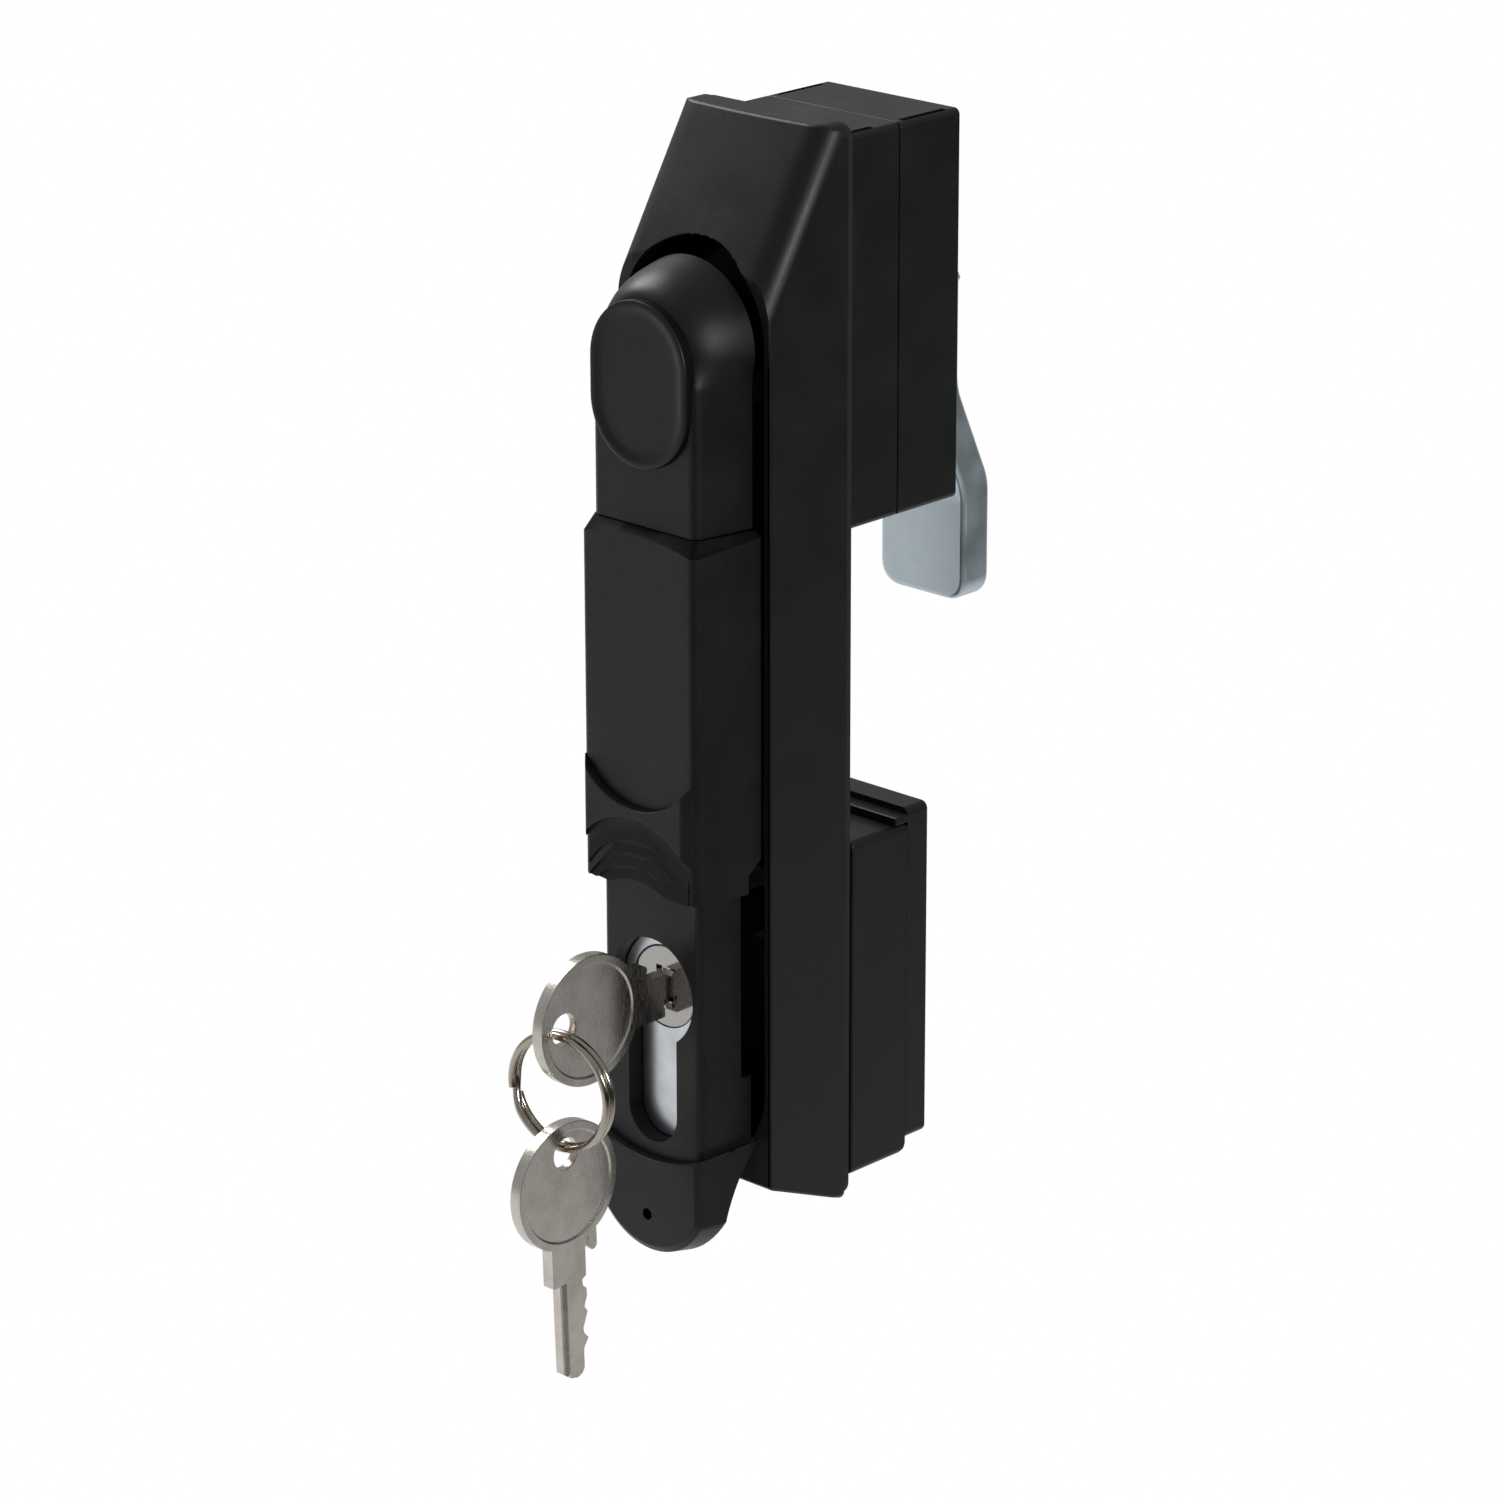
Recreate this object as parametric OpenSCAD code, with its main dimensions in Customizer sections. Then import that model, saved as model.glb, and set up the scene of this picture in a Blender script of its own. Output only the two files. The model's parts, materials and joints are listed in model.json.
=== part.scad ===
// Swinghandle lock for a cabinet door, as an assembly of separate pieces.
// Frame: X to the right, Y into the cabinet, Z up, millimetres.
// Y = 0 is the back of the dish. X = 0, Z = 0 is the axis of the key plug.

/* [Dish] */
// Half of the width of the dish
dish_half_width = 15.5; // [13:0.1:20]
// How far the rim stands in front of the back of the dish
dish_depth = 16.7; // [12:0.1:24]
// Thickness of the rim wall
rim_wall = 1.3; // [1:0.1:2.5]
// Thickness of the floor of the dish
floor_thick = 2.5; // [1.5:0.1:4]
// Height of the top of the dish above the plug axis
dish_top = 132; // [120:0.5:150]
// Height at which the ramp meets the rim
ramp_foot = 112.2; // [108:0.1:118]
// Distance of the top edge of the ramp in front of the dish back
ramp_lip = 4.8; // [2:0.1:8]
// Radius of the two side edges of the ramp
ramp_edge_r = 4.1; // [1:0.1:6]
// Bottom of the dish at its back
dish_bottom = -38.2; // [-50:0.1:-34]
// Bottom of the dish at its rim
rim_bottom = -31.3; // [-34:0.1:-30.5]
// Radius of the two lower corners
bottom_corner = 1.5; // [1:0.1:6]
// Radius of the two upper corners
top_corner = 2.6; // [1:0.1:8]
// How far the ramp bulges in its middle
ramp_crown = 0.7; // [0.5:0.1:2]
// Thickness of the gasket
gasket_thick = 1.3; // [0.8:0.1:3]

/* [Spindle and cam] */
// Height of the spindle axis above the plug axis
spindle_z = 100; // [90:0.5:110]
// Radius of the front journal of the spindle
journal_r = 6.95; // [5:0.05:9]
// Radius of the rear journal of the spindle
rear_journal_r = 5.95; // [4:0.05:8]
// Side of the square that carries the cam
square_side = 8; // [6:0.1:9]
// Radial play of the spindle in its bearings
spindle_play = 0.05; // [0.02:0.01:0.1]
// Half of the width of the cam
cam_half_width = 8.75; // [7:0.05:12]
// Thickness of the cam
cam_thick = 6; // [4:0.1:7]
// How far the lower end of the cam is cranked to the rear
cam_crank = 7.4; // [3:0.1:12]
// Lower end of the cam
cam_bottom = 49.3; // [40:0.1:60]

/* [Handle] */
// Front of the upper part of the handle, in front of the dish back
handle_front = 27.4; // [22:0.1:34]
// Front of the lower part of the handle
handle_low_front = 26.35; // [22:0.05:34]
// Back edges of the handle
handle_back = 17.05; // [16.8:0.05:20]
// Half width of the upper part at its front
upper_half_front = 10.55; // [9:0.05:13]
// Half width of the upper part at its back edges
upper_half_back = 12.3; // [10:0.05:14]
// Half width of the lower part at its front
lower_half_front = 10.3; // [9:0.05:11]
// Half width of the lower part at its back edges
lower_half_back = 11.75; // [9:0.05:13]
// Wall of the handle
handle_wall = 2.1; // [1.5:0.1:3]
// Distance of the cross pin in front of the dish back
pin_y = 15; // [10:0.1:20]
// Radius of the cross pin
pin_r = 2; // [1.5:0.05:3]
// Radius of the tip of the handle at its front
tip_r = 12; // [11:0.1:13]
// Height of the centre of the tip
tip_z = -30.2; // [-32:0.1:-29]
// Front of the tip, which stands proud of the lower part
tip_front = 27.8; // [27:0.1:29]
// Radius of the finger space behind the tip
finger_r = 33.4; // [30:0.1:36]
// Lower end of the long cut in the back edges of the sides
cut_low = -13.3; // [-18:0.1:-8]

/* [Dust cover] */
// Lower end of the dust cover
cover_low = 17.2; // [12:0.1:24]
// Upper end of the dust cover
cover_high = 73.6; // [60:0.1:80]
// Front of the sunk faces of the dust cover
cover_front = 28.9; // [27:0.1:32]
// Front of the raised bridge of the dust cover
bridge_front = 30.2; // [28:0.1:33]
// Half width of the dust cover at its sunk faces
cover_half_front = 11.46; // [10:0.02:13]
// Half width of the dust cover at its back edges
cover_half_back = 14.0; // [12:0.1:15]

/* [Lock insert] */
// Radius of the round part of the profile
profile_r = 8.5; // [8:0.1:9]
// Width of the leg of the profile
leg_width = 10; // [9:0.1:11]
// Height of the whole profile
profile_height = 33; // [30:0.1:34]
// Distance of the lock face in front of the dish back
lock_face = 23.4; // [20:0.1:26]
// Radius of the head of the plug
plug_head_r = 6.6; // [5:0.1:7.5]
// Radius of the plug behind its head
plug_r = 4.2; // [3:0.1:5]

/* [Keys] */
// Radius of the bow of a key
bow_r = 10.3; // [8:0.1:13]
// Thickness of a key
key_thick = 2.1; // [1.6:0.1:3]
// Distance from the lock face to the centre of the bow
bow_reach = 17.1; // [14:0.1:22]
// How far the bow is offset to one side of its blade
bow_drop = 0.35; // [0:0.05:0.5]
// Distance from the centre of the bow to its hole
hole_reach = 5.3; // [4:0.1:6]
// Radius of the hole in the bow
hole_r = 2.5; // [2.3:0.05:3]
// Outer radius of the split ring
ring_r = 9.6; // [9.2:0.1:11]
// Radius of the wire of the split ring
wire_r = 0.62; // [0.4:0.02:1]
// How far the split ring is turned about its upright diameter
ring_yaw = 7; // [0:1:12]
// How far the spare key leans as it hangs
spare_tilt = 2; // [0:0.5:4]

/* [Hidden] */
// the one moulding of the dish is cut into two nodes at this height
split_z = 88;
rim_y = -dish_depth;
inner_half = dish_half_width - rim_wall;
recess_r = inner_half;
channel_z = -15.5;
recess_z = spindle_z + 1.2;
back_y = -handle_back;
face_y = -lock_face;
block_y = gasket_thick + 0.3;
hole_y = face_y - bow_reach - hole_reach;
bow_y = face_y - bow_reach;
// the two wires of the ring turn freely inside the hole of each key
wire_room = hole_r - 2 * wire_r - 0.22;
ring_top = -bow_drop - wire_room;
ring_mid_r = ring_r - wire_r;
ring_z = ring_top - ring_mid_r;
spare_hole_z = ring_z - ring_mid_r - wire_room;

black = "#1b1c1d";
rubber = "#101111";
zinc = "#8f979b";
steel = "#b9bcbe";
blackened = "#232425";
nickel = "#a39c92";
brassy = "#b8b5ae";

// A round bar along Y from y0 to y1, at x and z
module ycyl(r, y0, y1, x = 0, z = 0, fn = 64)
    translate([x, y1, z]) rotate([90, 0, 0])
        cylinder(r = r, h = y1 - y0, $fn = fn);

// A round bar along X from x0 to x1, at y and z
module xcyl(r, x0, x1, y, z, fn = 64)
    translate([x0, y, z]) rotate([0, 90, 0])
        cylinder(r = r, h = x1 - x0, $fn = fn);

// A box given by its two corners
module box(a, b) translate(a) cube(b - a);

// A drawing in X and Z, made into a plate from y0 to y1
module plate(y0, y1)
    translate([0, y1, 0]) rotate([90, 0, 0]) linear_extrude(y1 - y0) children();

// A drawing in X and Y, made into a bar from z0 to z1
module bar(z0, z1)
    translate([0, 0, z0]) linear_extrude(z1 - z0) children();

// A turned piece about a line along Y, drawn as radius and distance in front
module turned(z, fn = 96)
    translate([0, 0, z]) rotate([90, 0, 0]) rotate_extrude($fn = fn) children();

// A rectangle with four round corners, the lower two and the upper two
module rounded(x0, x1, z0, z1, r0, r1) {
    translate([x0, z0 + r0]) square([x1 - x0, z1 - z0 - r0 - r1]);
    translate([x0 + r0, z0]) square([x1 - x0 - 2 * r0, r0 + 0.01]);
    translate([x0 + r1, z1 - r1 - 0.01]) square([x1 - x0 - 2 * r1, r1 + 0.01]);
    for (x = [x0 + r0, x1 - r0])
        translate([x, z0 + r0]) circle(r = r0, $fn = 48);
    for (x = [x0 + r1, x1 - r1])
        translate([x, z1 - r1]) circle(r = r1, $fn = 48);
}

// The lock profile: a round with a leg below it, grown by c
module profile(c = 0) {
    circle(r = profile_r + c, $fn = 96);
    low = profile_height - profile_r - leg_width / 2;
    translate([-leg_width / 2 - c, -low]) square([leg_width + 2 * c, low]);
    translate([0, -low]) circle(r = leg_width / 2 + c, $fn = 64);
}

// The part of the dish above the spindle, its front cut to a ramp
module ramp() {
    slope = atan2(dish_depth - ramp_lip, dish_top - ramp_foot);
    crown_r = (dish_half_width * dish_half_width + ramp_crown * ramp_crown)
        / (2 * ramp_crown);
    intersection() {
        plate(rim_y, 0) rounded(-dish_half_width, dish_half_width, 100.5,
            dish_top, 0.1, top_corner);
        // a bar along the slope, with round edges and a slight crown
        translate([0, -ramp_lip, dish_top]) rotate([-slope, 0, 0])
            translate([0, 0, -80]) linear_extrude(120) intersection() {
                rounded(-dish_half_width, dish_half_width, 0, 60,
                    ramp_edge_r, 0.5);
                translate([0, crown_r]) circle(r = crown_r, $fn = 180);
            }
    }
}

// The whole dish. It is one moulding, kept as two nodes
module dish_moulding() {
    difference() {
        union() {
            plate(rim_y, 0) rounded(-dish_half_width, dish_half_width,
                dish_bottom, 101, bottom_corner, 0.1);
            ramp();
            // bearing tube of the spindle and two screw towers behind it
            ycyl(9, -1, 12.6, 0, spindle_z);
            for (z = [spindle_z - 22, spindle_z + 22]) ycyl(4, -1, 12.6, 0, z);
            // two screw towers for the lower housing
            for (x = [-9.5, 9.5]) ycyl(3.8, -1, 11.4, x, -8);
        }
        // the lower end slopes back from the rim
        translate([0, rim_y, rim_bottom])
            rotate([-atan2(rim_bottom - dish_bottom, dish_depth), 0, 0])
                box([-20, -10, -20], [20, 40, 0]);
        // channel with a round lower end
        plate(rim_y - 1, -floor_thick) {
            translate([-inner_half, channel_z])
                square([2 * inner_half, recess_z - channel_z]);
            translate([0, channel_z]) circle(r = inner_half, $fn = 96);
        }
        // round recess for the head of the handle
        ycyl(recess_r, rim_y - 8, -floor_thick, 0, recess_z, 96);
        // bores
        ycyl(journal_r + spindle_play, -5, 14, 0, spindle_z);
        for (z = [spindle_z - 22, spindle_z + 22]) ycyl(1.7, 1, 14, 0, z, 32);
        for (x = [-9.5, 9.5]) ycyl(1.7, 1, 14, x, -8, 32);
        ycyl(2.05, -5, 2, -2.6, 9.4, 32);
    }
}

module dish() color(black)
    intersection() {
        dish_moulding();
        box([-20, -30, -60], [20, 20, split_z]);
    }

module dish_hood() color(black)
    intersection() {
        dish_moulding();
        box([-20, -30, split_z], [20, 20, 140]);
    }

module gasket() color(rubber)
    difference() {
        plate(0, gasket_thick) rounded(-dish_half_width + 0.3,
            dish_half_width - 0.3, dish_bottom + 0.1, dish_top - 0.3,
            bottom_corner + 1, top_corner);
        // holes for the tube, the towers and the head of the keeper screw
        ycyl(9.2, -1, 3, 0, spindle_z);
        for (z = [spindle_z - 22, spindle_z + 22]) ycyl(4.2, -1, 3, 0, z, 48);
        for (x = [-9.5, 9.5]) ycyl(4, -1, 3, x, -8, 48);
        ycyl(3.6, -1, 3, -2.6, 9.4, 48);
    }

module keeper() color(blackened)
    difference() {
        union() {
            plate(-5.5, -floor_thick - 0.02) rounded(-7, 7.4, 3.6, 15.2, 2, 2);
            box([3.6, -18.5, 6.9], [6.8, -5, 12.4]);
            // the head, under which the lock cam turns
            box([-4.2, -18.75, 6.9], [6.8, -18.0, 12.4]);
        }
        ycyl(1.7, -5.2, 1, -2.6, 9.4, 32);
    }

// A pan head screw along Y with a cross recess, its head towards +Y
module screw(x, z, y_tip, y_seat, r_shank, r_head, h_head) {
    difference() {
        union() {
            ycyl(r_shank, y_tip + 1, y_seat, x, z, 32);
            translate([x, y_tip + 1, z]) rotate([90, 0, 0])
                cylinder(r1 = r_shank, r2 = r_shank * 0.45, h = 1, $fn = 32);
            translate([x, y_seat + h_head, z]) rotate([90, 0, 0])
                cylinder(r1 = r_head * 0.82, r2 = r_head, h = h_head * 0.4, $fn = 48);
            ycyl(r_head, y_seat, y_seat + h_head * 0.6, x, z, 48);
        }
        for (a = [0, 90]) translate([x, 0, z]) rotate([0, a, 0])
            box([-r_head * 0.6, y_seat + h_head * 0.4, -0.45],
                [r_head * 0.6, y_seat + h_head + 1, 0.45]);
    }
}

module keeper_screw() color(steel)
    screw(-2.6, 9.4, -5.0, 0.02, 1.67, 3.2, 2.0);

module clamp_frame() color(black)
    difference() {
        plate(block_y, 13.2) rounded(-13.7, 13.7, 69.2, 129.6, 1, 1);
        // bores round the tube and the towers of the dish
        ycyl(9.2, 0, 15, 0, spindle_z);
        for (z = [spindle_z - 22, spindle_z + 22]) ycyl(4.2, 0, 15, 0, z, 48);
        // two shallow grooves along the top
        for (x = [-12.9, 12.3])
            box([x, block_y + 0.8, 128.9], [x + 0.6, 8.2, 131]);
    }

module clamp_cap() color(black)
    difference() {
        plate(13.25, 26.6) rounded(-13.7, 13.7, 69.2, 129.6, 1, 1);
        ycyl(rear_journal_r + spindle_play, 12, 28, 0, spindle_z);
        for (z = [spindle_z - 22, spindle_z + 22]) {
            ycyl(2.05, 12, 28, 0, z, 32);
            ycyl(3.7, 23.4, 28, 0, z, 48);
        }
        // two shallow grooves along the top
        for (x = [-12.9, 12.3])
            box([x, 14.6, 128.9], [x + 0.6, 24.4, 131]);
    }

module clamp_screw(z) color(steel)
    screw(0, z, 4.2, 23.42, 1.67, 3.4, 2.6);
module clamp_screw_1() clamp_screw(spindle_z + 22);
module clamp_screw_2() clamp_screw(spindle_z - 22);

module base_housing() color(black)
    difference() {
        plate(block_y, 14) rounded(-dish_half_width, dish_half_width,
            -34.7, 20.25, 1.2, 1.2);
        // bores round the towers of the dish, and holes for the screws
        for (x = [-9.5, 9.5]) {
            ycyl(4, 0, 11.45, x, -8, 48);
            ycyl(2.05, 10, 15, x, -8, 32);
        }
        // room for the head of the keeper screw
        ycyl(3.6, 0, 2.6, -2.6, 9.4, 48);
        // the lower edge at the back is broken
        translate([0, 13.3, -34.7]) rotate([-112, 0, 0])
            box([-20, -6, 0], [20, 6, 6]);
    }

module base_cover() color(black)
    difference() {
        union() {
            plate(14.05, 18.8) rounded(-dish_half_width, dish_half_width,
                -32.4, 22.6, 1.2, 1.2);
            box([-dish_half_width, 11.4, 20.35], [dish_half_width, 15, 21.6]);
        }
        for (x = [-9.5, 9.5]) {
            ycyl(2.05, 13, 20, x, -8, 32);
            ycyl(3.5, 16.4, 20, x, -8, 48);
        }
    }

module base_screw(x) color(steel)
    screw(x, -8, 4.0, 16.42, 1.67, 3.2, 2.2);
module base_screw_1() base_screw(-9.5);
module base_screw_2() base_screw(9.5);

module spindle() color(blackened)
    difference() {
        union() {
            ycyl(12, -5.5, -floor_thick - 0.05, 0, spindle_z, 96);
            ycyl(journal_r, -3, 12.9, 0, spindle_z);
            ycyl(rear_journal_r, 12, 26.62, 0, spindle_z);
            box([-square_side / 2, 26, spindle_z - square_side / 2],
                [square_side / 2, 32.6, spindle_z + square_side / 2]);
            // lug that carries the cross pin
            box([-5, -pin_y, spindle_z - 6], [5, -5, spindle_z + 6]);
            xcyl(6, -5, 5, -pin_y, spindle_z);
        }
        xcyl(pin_r + 0.04, -6, 6, -pin_y, spindle_z);
        ycyl(2.1, 18, 34, 0, spindle_z, 32);
    }

module cam() color(zinc) {
    y0 = 26.75;
    y1 = y0 + cam_thick;
    difference() {
        intersection() {
            translate([-cam_half_width, 0, 0]) rotate([90, 0, 90])
                linear_extrude(2 * cam_half_width) polygon([
                    [y0, 110], [y1, 110], [y1, 84.3], [y1 + cam_crank, 68.3],
                    [y1 + cam_crank, cam_bottom], [y0 + cam_crank, cam_bottom],
                    [y0 + cam_crank, 67], [y0, 83]]);
            plate(20, 55) rounded(-cam_half_width, cam_half_width,
                cam_bottom, spindle_z + 9.5, 3.6, 8.7);
        }
        box([-square_side / 2 - 0.02, 20, spindle_z - square_side / 2 - 0.02],
            [square_side / 2 + 0.02, 40, spindle_z + square_side / 2 + 0.02]);
    }
}

module cam_washer() color(steel)
    difference() {
        ycyl(6.4, 32.78, 33.9, 0, spindle_z);
        ycyl(2.6, 30, 36, 0, spindle_z, 48);
    }

module cam_screw() color(steel)
    difference() {
        union() {
            ycyl(2.07, 20.5, 33.92, 0, spindle_z, 32);
            ycyl(4.6, 33.92, 37.4, 0, spindle_z, 6);
        }
        translate([0, 36.7, 0]) ycyl(3.4, 0, 2, 0, spindle_z, 48);
    }

// Cross section of the handle, front distance f, half widths a and b
module shell_section(f, a, b, back)
    polygon([[-b, -back], [-a, -f + 0.8], [-a + 0.75, -f], [a - 0.75, -f],
        [a, -f + 0.8], [b, -back]]);

module handle_outer() {
    bar(cover_high + 0.2, spindle_z)
        shell_section(handle_front, upper_half_front, upper_half_back, handle_back);
    turned(spindle_z) polygon([[0, handle_back],
        [upper_half_back + 0.6, handle_back],
        [upper_half_front + 0.65, handle_front - 3.2],
        [upper_half_front, handle_front - 1.2],
        [upper_half_front - 1.1, handle_front], [0, handle_front]]);
    bar(tip_z, cover_high + 0.3)
        shell_section(handle_low_front, lower_half_front, lower_half_back,
            handle_back);
    tip();
}

// The tip, proud of the handle in front and at the sides, its upper edge an
// arc in front and a slope at the sides, as the dust cover ends there
module tip()
    difference() {
        intersection() {
            union() {
                turned(tip_z) polygon([[0, handle_back], [tip_r + 2.26,
                    handle_back], [tip_r + 0.15, tip_front - 0.7],
                    [tip_r - 0.7, tip_front], [0, tip_front]]);
                box([-20, -40, tip_z], [20, -handle_back, -20]);
            }
            bar(tip_z - 16, -20) polygon([[-13, -handle_back],
                [-10.95, -tip_front + 0.7], [-10.2, -tip_front],
                [10.2, -tip_front], [10.95, -tip_front + 0.7],
                [13, -handle_back]]);
        }
        ycyl(27, -40, -21.8, 0, 0, 180);
        translate([0, -21.8, -24.6]) rotate([31.4, 0, 0])
            box([-20, 0, 0], [20, 20, 20]);
    }

module handle() color(black)
    difference() {
        union() {
            difference() {
                handle_outer();
                // hollow of the lower and the upper part
                bar(-24, cover_high + 1.4) shell_section(handle_low_front
                    - handle_wall, lower_half_front - handle_wall,
                    lower_half_back - handle_wall + 0.1, handle_back - 1);
                bar(cover_high, spindle_z) shell_section(handle_front
                    - 2.4, upper_half_front - handle_wall,
                    upper_half_back - handle_wall + 0.1, handle_back - 1);
                turned(spindle_z) polygon([[0, 10], [10.1, 10],
                    [10.1, handle_back], [8.6, handle_front - 2.4],
                    [0, handle_front - 2.4]]);
            }
            // cheeks that hold the cross pin
            for (s = [-1, 1]) {
                box([min(s * 5.15, s * 8), -25.2, spindle_z - 5],
                    [max(s * 5.15, s * 8), -pin_y, spindle_z + 5]);
                xcyl(5, min(s * 5.15, s * 8), max(s * 5.15, s * 8), -pin_y,
                    spindle_z);
            }
            // collar round the lock insert, closed behind by a web
            difference() {
                intersection() {
                    plate(-25, -19.25) profile(1.7);
                    bar(-30, 30) shell_section(26, 9.6, 10.6, 17);
                }
                plate(-30, -20.4) profile(0.06);
            }
            // two ribs across the hollow
            for (z = [46, 62]) box([-9.2, -24.5, z], [9.2, -20.6, z + 1.4]);
        }
        // opening for the lock insert, and the hole of the web
        plate(-30, -20.4) profile(0.06);
        ycyl(6.3, -21, -19, 0, 0);
        // bores of the cross pin
        xcyl(pin_r + 0.02, -9, 9, -pin_y, spindle_z);
        // long cut along the back edges, in which the dust cover runs
        box([-14, -18.85, cut_low], [14, -15, cover_high + 0.2]);
        // seat of the oval cap
        plate(-30, -26.6) oval(9.85, 12.75);
        ycyl(2.02, -30, -20, 0, spindle_z - 4.5, 32);
        // space for a finger behind the tip
        xcyl(finger_r, -20, 20, finger_r - 23.7, -44, 180);
        // small hole in the tip
        ycyl(0.95, -30, -26.2, 0, -36.3, 24);
    }

// An oval in front view, made of two rounds and a square between them
module oval(a, b)
    translate([0, 95.5]) {
        for (s = [-1, 1]) translate([0, s * (b - a)]) circle(r = a, $fn = 96);
        translate([-a, a - b]) square([2 * a, 2 * (b - a)]);
    }

module handle_cap() color(black)
    difference() {
        union() {
            plate(-28.0, -26.62) oval(9.8, 12.7);
            plate(-28.5, -27.9) oval(9.2, 12.1);
            // peg that snaps into the handle
            ycyl(2, -27, -23.6, 0, spindle_z - 4.5, 32);
        }
        // the face is sunk a little inside its rim
        plate(-29, -28.1) oval(8.2, 11.1);
    }

module cross_pin() color(steel)
    union() {
        xcyl(pin_r, -7.7, 7.7, -pin_y, spindle_z);
        for (s = [-1, 1]) translate([s * 7.7, -pin_y, spindle_z])
            rotate([0, s * 90, 0]) cylinder(r1 = pin_r, r2 = pin_r - 0.3, h = 0.3,
                $fn = 64);
    }

module cover_section(f, a)
    polygon([[-cover_half_back, -17.1], [-a - 0.25, -f + 0.9], [-a + 0.5, -f],
        [a - 0.5, -f], [a + 0.25, -f + 0.9], [cover_half_back, -17.1]]);

module slide_cover() color(black) {
    difference() {
        union() {
            bar(cover_low, cover_high) cover_section(cover_front, cover_half_front);
            // raised bridge between the sunk panel and the thumb grip
            difference() {
                bar(cover_low, 40) polygon([[-11.3, -28.4], [-11.2, -28.9],
                    [-9.95, -bridge_front], [9.95, -bridge_front], [11.2, -28.9],
                    [11.3, -28.4]]);
                ycyl(13.5, -40, -cover_front, 0, 43.7, 128);
                ycyl(14, -40, -cover_front, 0, 14.7, 128);
                box([-20, -40, 38], [20, -cover_front, 50]);
            }
            // ribs of the thumb grip
            intersection() {
                for (k = [1:5]) difference() {
                    ycyl(14, -cover_front - 0.4, -28, 0, 14.7 - 2.05 * k, 128);
                    ycyl(13.1, -40, -20, 0, 14.7 - 2.05 * k, 128);
                }
                bar(cover_low, 30) polygon([[-10.8, -28], [-10.8, -32],
                    [10.8, -32], [10.8, -28]]);
            }
        }
        // the inside, which runs on the handle
        bar(cover_low - 1, cover_high + 1) polygon([[-11.64, -18.7],
            [-10.42, -26.55], [10.42, -26.55], [11.64, -18.7]]);
        bar(cover_low - 1, cover_high + 1)
            polygon([[-10.2, -20], [10.2, -20], [10.2, -16], [-10.2, -16]]);
        // the lower corners at the back are cut off
        box([-20, -19.3, cover_low - 1], [20, -10, 20.2]);
        translate([0, -19.3, 20.2]) rotate([-45, 0, 0])
            box([-20, 0, -10], [20, 20, 0]);
    }
}

module lock_body() color(zinc)
    difference() {
        union() {
            plate(face_y, -20.42) profile();
            ycyl(6.2, -20.5, -18.05, 0, 0);
        }
        // groove of the horseshoe clip
        difference() {
            ycyl(7, -19.22, -18.33, 0, 0);
            ycyl(5.2, -20, -18, 0, 0);
        }
        // bore of the plug, wide for its head
        ycyl(plug_head_r + 0.05, -24, -20.9, 0, 0);
        ycyl(plug_r + 0.05, -25, -17, 0, 0);
    }

module lock_clip() color(steel)
    plate(-19.2, -18.35) difference() {
        union() {
            circle(r = 8.3, $fn = 96);
            translate([-8.3, 0]) square([16.6, 3.6]);
        }
        circle(r = 5.24, $fn = 96);
        translate([-5.24, 0]) square([10.48, 12]);
        translate([-12, 3.6]) square([24, 12]);
    }

module key_plug() color(zinc)
    difference() {
        union() {
            ycyl(plug_head_r, face_y - 0.05, -20.95, 0, 0);
            ycyl(plug_r, -21.5, -17.95, 0, 0);
            box([-2, -18.5, -2], [2, -17.07, 2]);
        }
        // keyway
        box([-key_thick / 2 - 0.04, -25, -2.6],
            [key_thick / 2 + 0.04, -19.0, 2.6]);
        // funnel of the keyway
        box([-1.9, -25, -3.2], [1.9, face_y + 0.6, 3.2]);
    }

module lock_cam() color(zinc)
    difference() {
        plate(-17.92, -17.07) {
            circle(r = 4.2, $fn = 64);
            translate([-7.2, -3]) square([7.2, 6]);
            intersection() {
                circle(r = 10.2, $fn = 96);
                translate([-11, -3]) square([11, 6]);
            }
        }
        box([-2.02, -19, -2.02], [2.02, -16, 2.02]);
    }

// Outline of a flat key along +X from the centre of its bow, cut off at len
module key_outline(len) {
    difference() {
        intersection() {
            union() {
                circle(r = bow_r, $fn = 128);
                translate([0, bow_drop]) {
                    // neck with a pad on one side
                    translate([6, -4.4]) square([9.7, 7.0]);
                    // blade with a blunt point
                    polygon([[8, -2.55], [31, -2.5], [31.8, -1.5], [32.2, 0],
                        [31.8, 1.0], [31, 1.5], [28.6, 1.5], [27.7, 1.6],
                        [26.3, 2.55], [25.3, 1.7], [24.4, 1.55], [21.9, 2.55],
                        [20.9, 1.95], [19.3, 2.55], [18, 2.55], [17.3, 1.8],
                        [16.3, 1.7], [15.8, 2.55], [8, 2.55]]);
                    // stop beside the neck
                    translate([7, 3.5]) square([4.3, 1.6]);
                    translate([11.3, 4.3]) circle(r = 0.8, $fn = 32);
                }
            }
            translate([-20, -20]) square([20 + len, 40]);
        }
        translate([-hole_reach, 0]) circle(r = hole_r, $fn = 64);
        translate([9.6, bow_drop + 2.6]) square([4, 0.9]);
    }
}

// A key lying flat, its faces sunk inside the border of the bow
module key_blank(len) difference() {
    linear_extrude(key_thick) key_outline(len);
    for (z = [key_thick - 0.3, -0.7])
        translate([0, 0, z]) linear_extrude(1) difference() {
            circle(r = bow_r - 1.4, $fn = 128);
            translate([-hole_reach, 0]) circle(r = hole_r + 0.01, $fn = 64);
        }
    // a lengthwise step on one face and a groove on the other
    translate([15.7, bow_drop - 3, key_thick - 0.55]) cube([20, 1.4, 1]);
    translate([13.6, 0.2, -0.5]) cube([22, 1, 1]);
}

module key() color(nickel)
    translate([-key_thick / 2, bow_y, -bow_drop]) rotate([90, 0, 90])
        key_blank(bow_reach + 4.3);

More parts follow.
